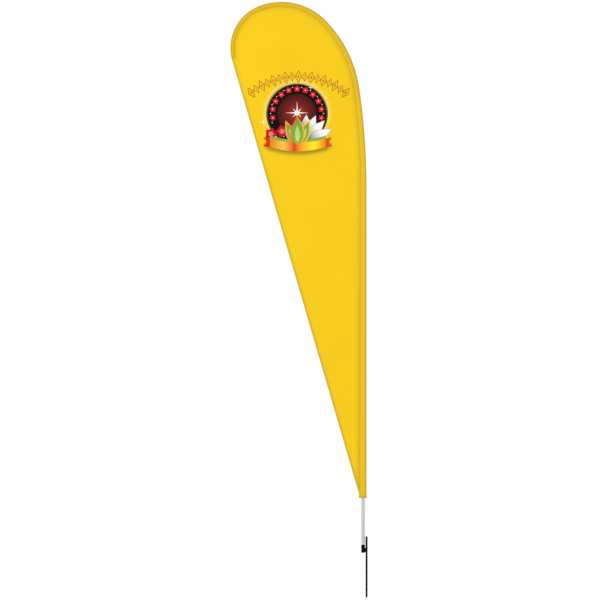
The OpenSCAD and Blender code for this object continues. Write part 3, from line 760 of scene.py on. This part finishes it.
def panel_finish():
    """The printed panel: a pale glow round the badge and a soft shadow below its ribbon."""
    made = cloth_finish("flag_cloth", YELLOW, YELLOW_SHADED, by_uv=False)
    ring = made.group(SPAN, Vector=made.place, Origin=(BADGE[0], 0, BADGE[1]), Span=(1, 0, 0), Reach=BADGE_R)
    glow = remap(made.tree, ring["Outwards"], 0.28, 0.0, 1.0, 1.16, ease=True)
    colour = mix_colour(made.tree, glow, made.colour, rgba(0.85, 0.80, 0.42))
    made.paint(ribbon_shadow(made), colour, rgba(0.16, 0.12, 0.012))
    return made.material


def seam_and_edge_shade(to_seam, to_edge):
    """Share of painted shade: 1 where the panel lies double at a seam allowance or hem, falling off softly
    into the single cloth, wide enough to stand in for the shade beside the seam and along the free edge.
    """
    by_seam = 0.8 * (1 - smooth(to_seam, -0.012, 0.042))
    by_edge = 0.5 * (1 - smooth(to_edge, 0.006, 0.034))
    return np.clip(by_seam + by_edge, 0, 1)


def panel_outline():
    """The cut of the panel, with its curved edge tucked into the sleeve."""
    s = spots(PANEL_FOOT, PATH_END + GAP, PANEL_SPACING)
    x, z = beside(s, seam(s) - TUCK)
    return np.concatenate([[CORNER], np.stack([x, z], -1), [TIP]])


def make_panel():
    outline = panel_outline()
    flat, triangles = fill(outline, PANEL_SPACING)
    to_seam, _, to_edge, _ = where_on_flag(flat[:, 0], flat[:, 1])
    middle = relief(flat[:, 0], flat[:, 1])
    skin = thick_sheet(flat, triangles, middle - CLOTH / 2, middle + CLOTH / 2)
    piece = make_piece("panel_cloth", skin, panel_finish(), ["flag_panel"], crisp=50,
                       doubled_shade=np.tile(seam_and_edge_shade(to_seam, to_edge), 2))
    size = outline.max(0) - outline.min(0)
    return piece, (float(size[0]), float(size[1])), abs(signed_area(outline))


# --- sleeve

SIDES = 48
TURNS = np.linspace(0, 2 * math.pi, SIDES, endpoint=False)
PAST_END = 10.0                  # a place beyond the pole, with no darkening from the mouth
HEM_STEP = 0.0009                # how far the mouth's hem stands out from the sleeve


def half_thickness(s):
    """Half of how far the sleeve stands out square to the flag's plane."""
    return HALF_SLEEVE[0] + (HALF_SLEEVE[1] - HALF_SLEEVE[0]) * bent(s)


def sleeve_ring(s, turns, inset=0.0, pinch=1.0):
    """Points round the sleeve at s: turn 0 is the seam and half a turn the outer fold, both drawn thin."""
    inner, out = float(seam(s)) - inset, float(outer(s)) - inset
    n = (inner - out) / 2 + (inner + out) / 2 * np.cos(turns)
    crease = np.abs(np.sin(turns)) ** 0.32
    across = (float(half_thickness(s)) * pinch - inset) * np.sin(turns) * crease
    near_seam = np.exp(-(1 - np.cos(turns)) / 0.25) * np.abs(np.sin(turns))
    near_fold = np.exp(-(1 + np.cos(turns)) / 0.3) * np.abs(np.sin(turns))
    side = np.sign(np.sin(turns))
    pucker = 0.0016 * near_seam * flutter(s + 0.002 * side, 55, (0.058, 0.041, 0.083))
    slack = 0.0013 * near_fold * flutter(s - 0.003 * side, 77, (0.11, 0.071, 0.19))
    squeeze = 0.0009 * float(smooth(bent(s), 0.02, 0.3)) * np.sin(turns) ** 2 \
        * flutter(s + 0.012 * np.cos(turns), 13, (0.047, 0.033, 0.069))
    across = across + side * (pucker + slack + squeeze)
    x, z = beside(s, n)
    return np.stack([x, across, z], -1)


def lap(places):
    """The UV map of rings at these places: metres of cloth round the sleeve, and distance along it."""
    ring = sleeve_ring(places[0], np.append(TURNS, 2 * math.pi))
    around = np.cumsum(np.linalg.norm(np.diff(ring, axis=0), axis=1))[:-1]
    return np.array([(u, s) for s in places for u in (0, *around)])


def sleeve_tube(name, places, flares, shares, material, stands_for):
    """A tube of cloth along the pole, its outside moved out by flares."""
    outside = [sleeve_ring(s, TURNS, -flare) for s, flare in zip(places, flares)]
    skin = tube(outside, [sleeve_ring(s, TURNS, CLOTH) for s in places])
    return make_piece(name, skin, material, stands_for, uv=np.tile(lap(places), (2, 1)),
                      doubled_shade=np.tile(np.concatenate(shares), 2))


def sleeve_shade(s, turns):
    """Painted shade along the outer fold and along the seam, where the cloth lies double, and also round the
    bend and just above the mouth's hem.
    """
    half = float(width(s)) / 2
    from_fold, from_seam = half * (1 + np.cos(turns)), half * (1 - np.cos(turns))
    fold = 1 - smooth(from_fold, 0.005, 0.014)
    stitched = 0.52 * (1 - smooth(from_seam, 0.006, 0.015))
    mouth = 0.4 * math.exp(-max(s - MOUTH_HEM, 0) / 0.02)
    return np.clip(np.maximum(0.32 * smooth(bent(s), 0.0, 0.6), stitched) + fold + mouth, 0, 1)


def make_sleeve(material):
    places = spots(MOUTH_HEM - 0.001, POCKET + 0.0015, 0.0075)
    shares = [sleeve_shade(s, TURNS) for s in places]
    return sleeve_tube("sleeve_cloth", places, np.zeros(len(places)), shares, material, ["pole_sleeve"])


def make_mouth_hem(material):
    """The turned-up hem round the sleeve's mouth: a rolled lower edge, and a step where it ends."""
    places = MOUTH + (MOUTH_HEM - MOUTH) * np.array([0.0, 0.03, 0.09, 0.18, 0.35, 0.55, 0.75, 0.92, 1.0])
    flares = HEM_STEP * np.array([-0.4, 0.35, 0.8, 1.0, 0.85, 0.8, 0.85, 0.8, 0.2])
    # painted shade: the hem darker all over, darkest at its rolled lower edge, with half the sleeve's fold
    # shade
    fold_shade = sleeve_shade(PAST_END, TURNS)
    shares = [np.clip(0.45 + math.exp(-(s - MOUTH) / 0.002) + fold_shade * 0.5, 0, 1) for s in places]
    return sleeve_tube("mouth_hem_cloth", places, flares, shares, material, ["mouth_hem"])


def make_pocket(material):
    """The sleeve's closed end, where its two sides come together and are sewn shut."""
    shares = np.linspace(0, 1, 12)
    places = POCKET + GAP + (PATH_END - POCKET - GAP) * shares
    pinches = 1 - 0.86 * shares ** 1.6
    rings = [sleeve_ring(s, TURNS, -0.0005, p) for s, p in zip(places, pinches)]
    rings.append(sleeve_ring(PATH_END, TURNS, 0.0006, pinches[-1] * 0.6))
    places = [*places, PATH_END]
    # painted shade: darker step by step towards the sewn-shut end, on top of the sleeve's shade
    doubled_shade = [np.clip(sleeve_shade(s, TURNS) + 0.4 * k / 12, 0, 1) for k, s in enumerate(places)]
    return make_piece("pocket_cloth", loft(rings, closed_ends=True), material, ["tip_pocket"],
                      uv=lap(places), doubled_shade=np.concatenate(doubled_shade))


# --- hem along the free edge

HEM_WIDTH = 0.012
HEM_HALF = 0.0011                # half its thickness where it is fullest
HEM_STITCH = 0.0098              # its stitches, in from the free edge


def on_edge(down, inward):
    """x and z of a point at a distance down the free edge and inward from it."""
    return (TIP[0] + EDGE_DIRECTION[0] * down + EDGE_INWARD[0] * inward,
            TIP[1] + EDGE_DIRECTION[1] * down + EDGE_INWARD[1] * inward)


def room_inward(down):
    """How wide the flag is, square to its free edge, near the foot of that edge."""
    low = SEAM_S < SEAM_S[0] + 1.0
    along = (SEAM_X[low] - TIP[0]) * EDGE_DIRECTION[0] + (SEAM_Z[low] - TIP[1]) * EDGE_DIRECTION[1]
    inward = (SEAM_X[low] - TIP[0]) * EDGE_INWARD[0] + (SEAM_Z[low] - TIP[1]) * EDGE_INWARD[1]
    return float(np.interp(down, along[::-1], inward[::-1]))


def make_edge_hem(material):
    """Cloth folded over the free edge and stitched flat, slightly quilted between the stitches."""
    profile = [(0.0, 0.0), (0.0006, 0.75), (0.0018, 1.0), (0.0045, 0.85), (0.0078, 0.72), (0.0102, 0.80),
               (HEM_WIDTH, 0.62)]
    places = spots(0.0012, EDGE_LENGTH - 0.006, 0.008)
    # painted shade across the hem's width: darkest where the cloth folds over the free edge, lighter towards
    # the stitches
    dark = [1.0, 1.0, 1.0, 0.85, 0.55, 0.42, 0.45]
    rings, uv = [], []
    for down in places:
        reach = min(1.0, max(0.12, (room_inward(down) + 0.0005) / HEM_WIDTH))
        inward = np.array([n * reach for n, _ in profile])
        half = np.array([h for _, h in profile]) * HEM_HALF \
            * (1 + 0.1 * float(flutter(down, 91, (0.034, 0.051, 0.023))))
        x, z = on_edge(down, inward)
        middle = relief(x, z)
        front = np.stack([x, middle - half, z], -1)
        back = np.stack([x, middle + half, z], -1)[:0:-1]
        rings.append(np.concatenate([front, back]))
        uv += [(n, down) for n in inward] + [(-n, down) for n in inward[:0:-1]]
    return make_piece("edge_hem_cloth", loft(rings, closed_ends=True), material, ["edge_hem"],
                      uv=uv, doubled_shade=np.tile(dark + dark[:0:-1], len(rings)))


# --- stitches

STITCH = 0.0032
STITCH_GAP = 0.0010
THREAD_R = 0.00028


def stitch_tree(material):
    """Geometry Nodes: one long bead of thread per stitch, along every line of the mesh it is given."""
    tree = bpy.data.node_groups.new("Stitches", "GeometryNodeTree")
    tree.interface.new_socket("Geometry", in_out="INPUT", socket_type="NodeSocketGeometry")
    for label, value in (("Stitch Length", STITCH), ("Gap", STITCH_GAP), ("Thread Radius", THREAD_R)):
        tree.interface.new_socket(label, in_out="INPUT", socket_type="NodeSocketFloat").default_value = value
    tree.interface.new_socket("Geometry", in_out="OUTPUT", socket_type="NodeSocketGeometry")
    given, out = tree.nodes.new("NodeGroupInput").outputs, tree.nodes.new("NodeGroupOutput").inputs
    line = add(tree, "GeometryNodeMeshToCurve", {"Mesh": given["Geometry"]}).outputs[0]
    pitch = math_node(tree, "ADD", given["Stitch Length"], given["Gap"])
    spaced = add(tree, "GeometryNodeResampleCurve", {"Curve": line, "Length": pitch}, mode="LENGTH")
    bead = add(tree, "GeometryNodeMeshUVSphere", {"Segments": 6, "Rings": 3, "Radius": 1.0})
    half = math_node(tree, "MULTIPLY", given["Stitch Length"], 0.55)
    size = add(tree, "ShaderNodeCombineXYZ", {0: given["Thread Radius"], 1: given["Thread Radius"], 2: half})
    shaped = add(tree, "GeometryNodeTransform", {"Geometry": bead.outputs[0], "Scale": size.outputs[0]})
    tangent = tree.nodes.new("GeometryNodeInputTangent").outputs[0]
    turn = add(tree, "FunctionNodeAlignRotationToVector", {"Vector": tangent}, axis="Z").outputs[0]
    placed = add(tree, "GeometryNodeInstanceOnPoints", {"Points": spaced.outputs[0], "Rotation": turn,
                                                        "Instance": shaped.outputs[0]})
    real = add(tree, "GeometryNodeRealizeInstances", {"Geometry": placed.outputs[0]})
    painted = add(tree, "GeometryNodeSetMaterial", {"Geometry": real.outputs[0], "Material": material})
    tree.links.new(painted.outputs[0], out[0])
    return tree


def sew(name, rows, tree, material, length, radius=THREAD_R):
    """Runs the stitch tree along rows of points and keeps the result as a plain mesh."""
    points, edges = [], []
    for row in rows:
        edges += [(len(points) + i, len(points) + i + 1) for i in range(len(row) - 1)]
        points += [tuple(map(float, p)) for p in row]
    lines = bpy.data.meshes.new(name + "_lines")
    lines.from_pydata(points, edges, [])
    source = link(name + "_source", lines)
    modifier = source.modifiers.new("Stitches", "NODES")
    modifier.node_group = tree
    wanted = {"Stitch Length": length, "Thread Radius": radius}
    for item in tree.interface.items_tree:
        if item.item_type == "SOCKET" and item.in_out == "INPUT" and item.name in wanted:
            modifier[item.identifier] = wanted[item.name]
    evaluated = source.evaluated_get(bpy.context.evaluated_depsgraph_get())
    mesh = bpy.data.meshes.new_from_object(evaluated)
    bpy.data.objects.remove(source)
    mesh.name = name
    mesh.polygons.foreach_set("use_smooth", [True] * len(mesh.polygons))
    return finish_piece(link(name, mesh), material)


def on_panel(x, z, lift):
    """The row's points on the front of the panel and on its back, standing off its middle by lift."""
    middle = relief(x, z)
    return [np.stack([x, middle + face * lift, z], -1) for face in (-1, 1)]


def seam_rows():
    """A row on the panel just inside the seam and one on the sleeve just outside it, on both faces."""
    s = spots(PANEL_FOOT + 0.010, PATH_END - 0.004, 0.006)
    x, z = beside(s, seam(s) + GAP + 0.0045)
    fits = (np.stack([x - TIP[0], z - TIP[1]], -1) @ EDGE_INWARD) > HEM_WIDTH + 0.002
    rows = on_panel(x[fits], z[fits], CLOTH / 2 + THREAD_R * 0.5)
    s = spots(MOUTH + 0.004, POCKET - 0.002, 0.0075)
    for turn in (0.40, -0.40):
        rows.append(np.array([sleeve_ring(place, np.array([turn]), -THREAD_R * 0.4)[0] for place in s]))
    return rows


def hem_rows():
    down = spots(0.004, EDGE_LENGTH - 0.035, 0.012)
    return on_panel(*on_edge(down, HEM_STITCH), HEM_HALF * 0.86 + THREAD_R * 0.4)


def mouth_rows():
    turns = np.linspace(0.12, 2 * math.pi - 0.12, 90)
    return [sleeve_ring(MOUTH + 0.0078, turns, -HEM_STEP - THREAD_R * 0.3)]


def pocket_rows():
    """Two rows on each side, at a share of the pocket's length and with the sleeve's pinch there."""
    turns = np.linspace(0.35, math.pi - 0.35, 24)
    start = POCKET + GAP
    return [sleeve_ring(start + (PATH_END - start) * share, way * turns, -THREAD_R * 0.3, pinch)
            for share, pinch in ((0.62, 0.61), (0.86, 0.335)) for way in (1, -1)]


def thread_finish(name, colour):
    made = Finish(name, Specular_IOR_Level=0.3, Sheen_Weight=0.1)
    twist = add(made.tree, "ShaderNodeTexWave", {"Vector": made.place, "Scale": 900.0, "Distortion": 1.0})
    made.paint(twist.outputs["Fac"], rgba(*(0.8 * c for c in colour[:3])), colour)
    made.roughen(twist.outputs["Fac"], 0.5, 0.7)
    made.bump(twist.outputs["Fac"], 0.00005)
    return made.material


# --- tension strap

def make_strap():
    """Webbing from the back of the sleeve down to the peg: ribbed, bowed, and thin along its two edges."""
    low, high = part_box("tension_strap")
    ring_low, ring_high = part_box("strap_grommet")
    eye = np.array([(ring_low.x + ring_high.x) / 2, (ring_low.z + ring_high.z) / 2])
    corner = 0.0015
    outline = [(low.x + corner, low.z), (high.x - corner, low.z), (high.x, low.z + corner),
               (high.x, high.z), (low.x, high.z), (low.x, low.z + corner)]
    flat, triangles = fill(outline, 0.0016, [round_outline(eye, 0.0062, 40)])
    across = (flat[:, 0] - eye[0]) / (high.x - low.x) * 2
    rib = 0.00016 * np.cos(across * math.pi * 5)
    selvedge = 0.0004 * smooth(np.abs(across), 0.86, 1.0)
    up = flat[:, 1] - low.z
    bow = 0.0012 * np.sin(math.pi * up / (high.z - low.z)) * smooth(up, 0.02, 0.045)
    skin = thick_sheet(flat, triangles, low.y + selvedge - rib - bow + 0.0001, high.y - selvedge + rib - bow)
    made = Finish("webbing", Specular_IOR_Level=0.2, Sheen_Weight=0.2)
    weave = made.weave(0.0018)
    made.paint(weave["Shade"], rgba(0.008, 0.008, 0.009), rgba(0.028, 0.028, 0.030))
    made.roughen(weave["Shade"], 0.9, 0.6)
    made.bump(weave["Height"], 0.0004)
    return make_piece("strap_webbing", skin, made.material, ["tension_strap"])


def strap_rows():
    """A sewn box with a cross in it, where the webbing joins the sleeve."""
    low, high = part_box("tension_strap")
    margin = 0.0025
    left, right, foot, top = low.x + margin, high.x - margin, high.z - 0.0235, high.z - margin
    y = high.y - 0.0002
    box = [(left, foot), (right, foot), (right, top), (left, top), (left, foot), (right, top)]
    rows = [[(x, y, z) for x, z in box], [(left, y, top), (right, y, foot)]]
    return [np.concatenate([np.linspace(a, b, 6) for a, b in zip(row, row[1:])]) for row in rows]


# --- weld beads on the stake

LUG_LOW, LUG_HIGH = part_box("stake_lug")


def weld_bead(name, centre_x, radius, side, low, high, material):
    """Fillets of weld up both faces of the lug, where it meets a round bar, rippled by the passes."""
    half = (LUG_HIGH.y - LUG_LOW.y) / 2
    x = centre_x + side * math.sqrt(radius ** 2 - half ** 2)
    turns = np.linspace(0, 2 * math.pi, 10, endpoint=False)
    skins = []
    for face in (-1, 1):
        rings = []
        for z in spots(low, high, 0.0006):
            end = min(1.0, 6 * min(z - low, high - z) / (high - low) + 0.25)
            size = end * (0.0016 + 0.00025 * math.cos(2 * math.pi * (z - low) / 0.0017))
            rings.append(np.stack([x + side * 0.0004 + size * np.cos(turns),
                                   face * half + size * 0.8 * np.sin(turns), np.full(10, z)], -1))
        skins.append(loft(rings, closed_ends=True))
    return make_piece(name, joined(skins), material, body="stake")


# --- hardware materials

def coated_steel():
    """Black satin coating, worn to bare steel towards the point that goes into the ground."""
    made = Finish("black_coating", Specular_IOR_Level=0.05)
    grain = made.group(GRAIN, Vector=made.place, Size=0.0007)
    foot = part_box("stake_rod")[0].z
    near_point = remap(made.tree, made.axes()[2], 0.0, 0.55, foot + 0.09, foot)
    worn = math_node(made.tree, "MULTIPLY", near_point, grain["Scuff"])
    colour = mix_colour(made.tree, grain["Scuff"], rgba(0.0015, 0.0015, 0.0016), rgba(0.006, 0.006, 0.0062))
    made.paint(worn, colour, rgba(0.20, 0.19, 0.18))
    made.drive("Metallic", math_node(made.tree, "MULTIPLY", worn, 0.8))
    made.roughen(grain["Scuff"], 0.42, 0.58)
    made.bump(grain["Height"], 0.00012)
    return made.material


def moulded(name, dark, light, roughness=(0.45, 0.62), specular=0.06):
    made = Finish(name, Specular_IOR_Level=specular)
    grain = made.group(GRAIN, Vector=made.place, Size=0.0005)
    made.paint(grain["Scuff"], dark, light)
    made.roughen(grain["Scuff"], *roughness)
    made.bump(grain["Height"], 0.00008)
    return made.material


def drawn_metal(name, dark, light, roughness, metallic=1.0, fineness=1500.0, marks=0.09):
    """Drawn or turned metal: fine lines along the pole, and slow handling marks."""
    made = Finish(name, Metallic=metallic)
    line = made.group(DRAWN, Vector=made.place, Fineness=fineness)
    blotch = made.group(BLOTCH, Vector=made.place, Size=marks)
    handled = math_node(made.tree, "MULTIPLY", blotch["Share"], 0.4)
    share = math_node(made.tree, "MULTIPLY_ADD", line["Line"], 0.6, handled)
    made.paint(share, dark, light)
    made.roughen(share, *roughness)
    made.bump(line["Height"], 0.00003)
    return made.material


def polished_steel():
    made = Finish("polished_steel", Metallic=1.0)
    blotch = made.group(BLOTCH, Vector=made.place, Size=0.004)
    made.paint(blotch["Share"], rgba(0.66, 0.67, 0.69), rgba(0.72, 0.73, 0.75))
    made.roughen(blotch["Share"], 0.08, 0.16)
    return made.material


def glass_fibre():
    """Pale drawn rod with its fibres showing along it."""
    made = Finish("glass_fibre", Specular_IOR_Level=0.5, Coat_Weight=0.2)
    line = made.group(DRAWN, Vector=made.place, Fineness=900.0)
    made.paint(line["Line"], rgba(0.62, 0.61, 0.55), rgba(0.80, 0.79, 0.74))
    made.roughen(line["Line"], 0.3, 0.45)
    made.bump(line["Height"], 0.00004)
    return made.material


def dress_hardware():
    """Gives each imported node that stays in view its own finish, by the record's material slot."""
    finishes = {
        "stake_steel": coated_steel(),
        "black_plastic": moulded("black_plastic", rgba(0.0016, 0.0016, 0.0017), rgba(0.005, 0.005, 0.0052)),
        "bearing_steel": polished_steel(),
        "zinc_steel": drawn_metal("zinc_steel", rgba(0.50, 0.51, 0.53), rgba(0.66, 0.67, 0.68), (0.25, 0.40),
                                  fineness=700.0, marks=0.006),
        "spindle_aluminium": drawn_metal("spindle_aluminium", rgba(0.60, 0.60, 0.595), rgba(0.72, 0.72, 0.71),
                                         (0.30, 0.42), metallic=0.6, marks=0.01),
        "pole_aluminium": drawn_metal("pole_aluminium", rgba(0.51, 0.51, 0.495), rgba(0.60, 0.60, 0.585),
                                      (0.34, 0.46), metallic=0.85),
        "glass_fibre": glass_fibre(),
        "cage_nylon": moulded("cage_nylon", rgba(0.62, 0.60, 0.52), rgba(0.70, 0.68, 0.60), (0.4, 0.5)),
        "o_ring_rubber": moulded("o_ring_rubber", rgba(0.012, 0.012, 0.012), rgba(0.02, 0.02, 0.02),
                                 (0.5, 0.7)),
    }
    for part in frame["record"]["subparts"]:
        if part["material_slot"] in finishes:
            node = frame["nodes"][part["node"]]
            node.data.materials.clear()
            node.data.materials.append(finishes[part["material_slot"]])
    return finishes


# --- studio

def add_camera():
    """Square on to the flag from far away, at the middle of its height."""
    view_width, distance, sensor = 4.29, 30.0, 36.0
    data = bpy.data.cameras.new("camera")
    data.sensor_width, data.lens = sensor, sensor * distance / view_width
    data.clip_start, data.clip_end = 0.1, 200.0
    camera = bpy.data.objects.new("camera", data)
    camera.location = (-0.476, -distance, 1.818)
    camera.rotation_euler = (math.radians(90), 0, 0)
    bpy.context.scene.collection.objects.link(camera)
    bpy.context.scene.camera = camera


def add_lamp(name, place, aim, size, power):
    data = bpy.data.lights.new(name, "AREA")
    data.shape, data.size, data.energy = "DISK", size, power
    lamp = bpy.data.objects.new(name, data)
    lamp.location = place
    lamp.rotation_euler = (Vector(aim) - Vector(place)).to_track_quat("-Z", "Y").to_euler()
    bpy.context.scene.collection.objects.link(lamp)


def add_studio():
    """A pale round floor at the stake's point, an even white room and two soft lamps."""
    world = bpy.data.worlds.new("room")
    world.use_nodes = True
    room = world.node_tree.nodes["Background"]
    room.inputs["Color"].default_value = rgba(1, 1, 1)
    room.inputs["Strength"].default_value = 1.0
    bpy.context.scene.world = world
    bpy.context.scene.view_settings.view_transform = "Standard"
    add_lamp("key", (-8.0, -11.0, 7.0), (-0.5, 0, 2.0), 3.5, 420)
    add_lamp("fill", (7.0, 11.0, 6.0), (-0.5, 0, 2.0), 3.5, 380)
    floor_z = min(corner.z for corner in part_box("stake_rod")) - 0.001
    sides = 128
    rim = round_outline(np.array([-0.45, 0.0]), 1.5, sides)
    points = [(x, y, floor_z - depth) for depth in (0, 0.001) for x, y in rim]
    faces = [tuple(range(sides)), tuple(reversed(range(sides, 2 * sides)))]
    faces += [(i + sides, (i + 1) % sides + sides, (i + 1) % sides, i) for i in range(sides)]
    floor = link("floor", make_mesh("floor", points, faces, crisp=30))
    made = Finish("pale_floor", Specular_IOR_Level=0.1)
    blotch = made.group(BLOTCH, Vector=made.place, Size=0.5)
    made.paint(blotch["Share"], rgba(0.86, 0.86, 0.86), rgba(0.88, 0.88, 0.88))
    made.roughen(blotch["Share"], 0.85, 0.95)
    floor.data.materials.append(made.material)


# --- making it

add_camera()
add_studio()
hardware = dress_hardware()

sleeve_cloth = cloth_finish("sleeve_cloth", SLEEVE_YELLOW_SHADED, CLOTH_FOLD_SHADE).material
hem_cloth = cloth_finish("hem_cloth", YELLOW, CLOTH_FOLD_SHADE).material
yellow_thread = thread_finish("yellow_thread", rgba(0.70, 0.45, 0.02))
black_thread = thread_finish("black_thread", rgba(0.03, 0.03, 0.03))

panel, panel_flat, panel_area = make_panel()
prints = print_badge()
sleeve = make_sleeve(sleeve_cloth)
mouth_hem = make_mouth_hem(sleeve_cloth)
pocket = make_pocket(sleeve_cloth)
edge_hem = make_edge_hem(hem_cloth)
make_strap()

yellow_stitches, black_stitches = stitch_tree(yellow_thread), stitch_tree(black_thread)
for name, rows, slot, length in (("seam_thread", seam_rows(), "flag_cloth", STITCH),
                                 ("hem_thread", hem_rows(), "flag_cloth", STITCH),
                                 ("mouth_thread", mouth_rows(), "sleeve_cloth", 0.0026),
                                 ("pocket_thread", pocket_rows(), "sleeve_cloth", 0.0024)):
    sew(name, rows, yellow_stitches, yellow_thread, length)
sew("strap_thread", strap_rows(), black_stitches, black_thread, 0.0026, 0.0003)

ROD_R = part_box("stake_rod")[1].x
HUB_LOW, HUB_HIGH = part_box("spindle_hub")
HUB_R = (HUB_HIGH.x - HUB_LOW.x) / 2
weld_bead("rod_weld", 0.0, ROD_R, -1, LUG_LOW.z + 0.001, LUG_HIGH.z - 0.001, hardware["stake_steel"])
weld_bead("hub_weld", POLE_X, HUB_R, 1, LUG_LOW.z + 0.004, LUG_HIGH.z - 0.004, hardware["stake_steel"])
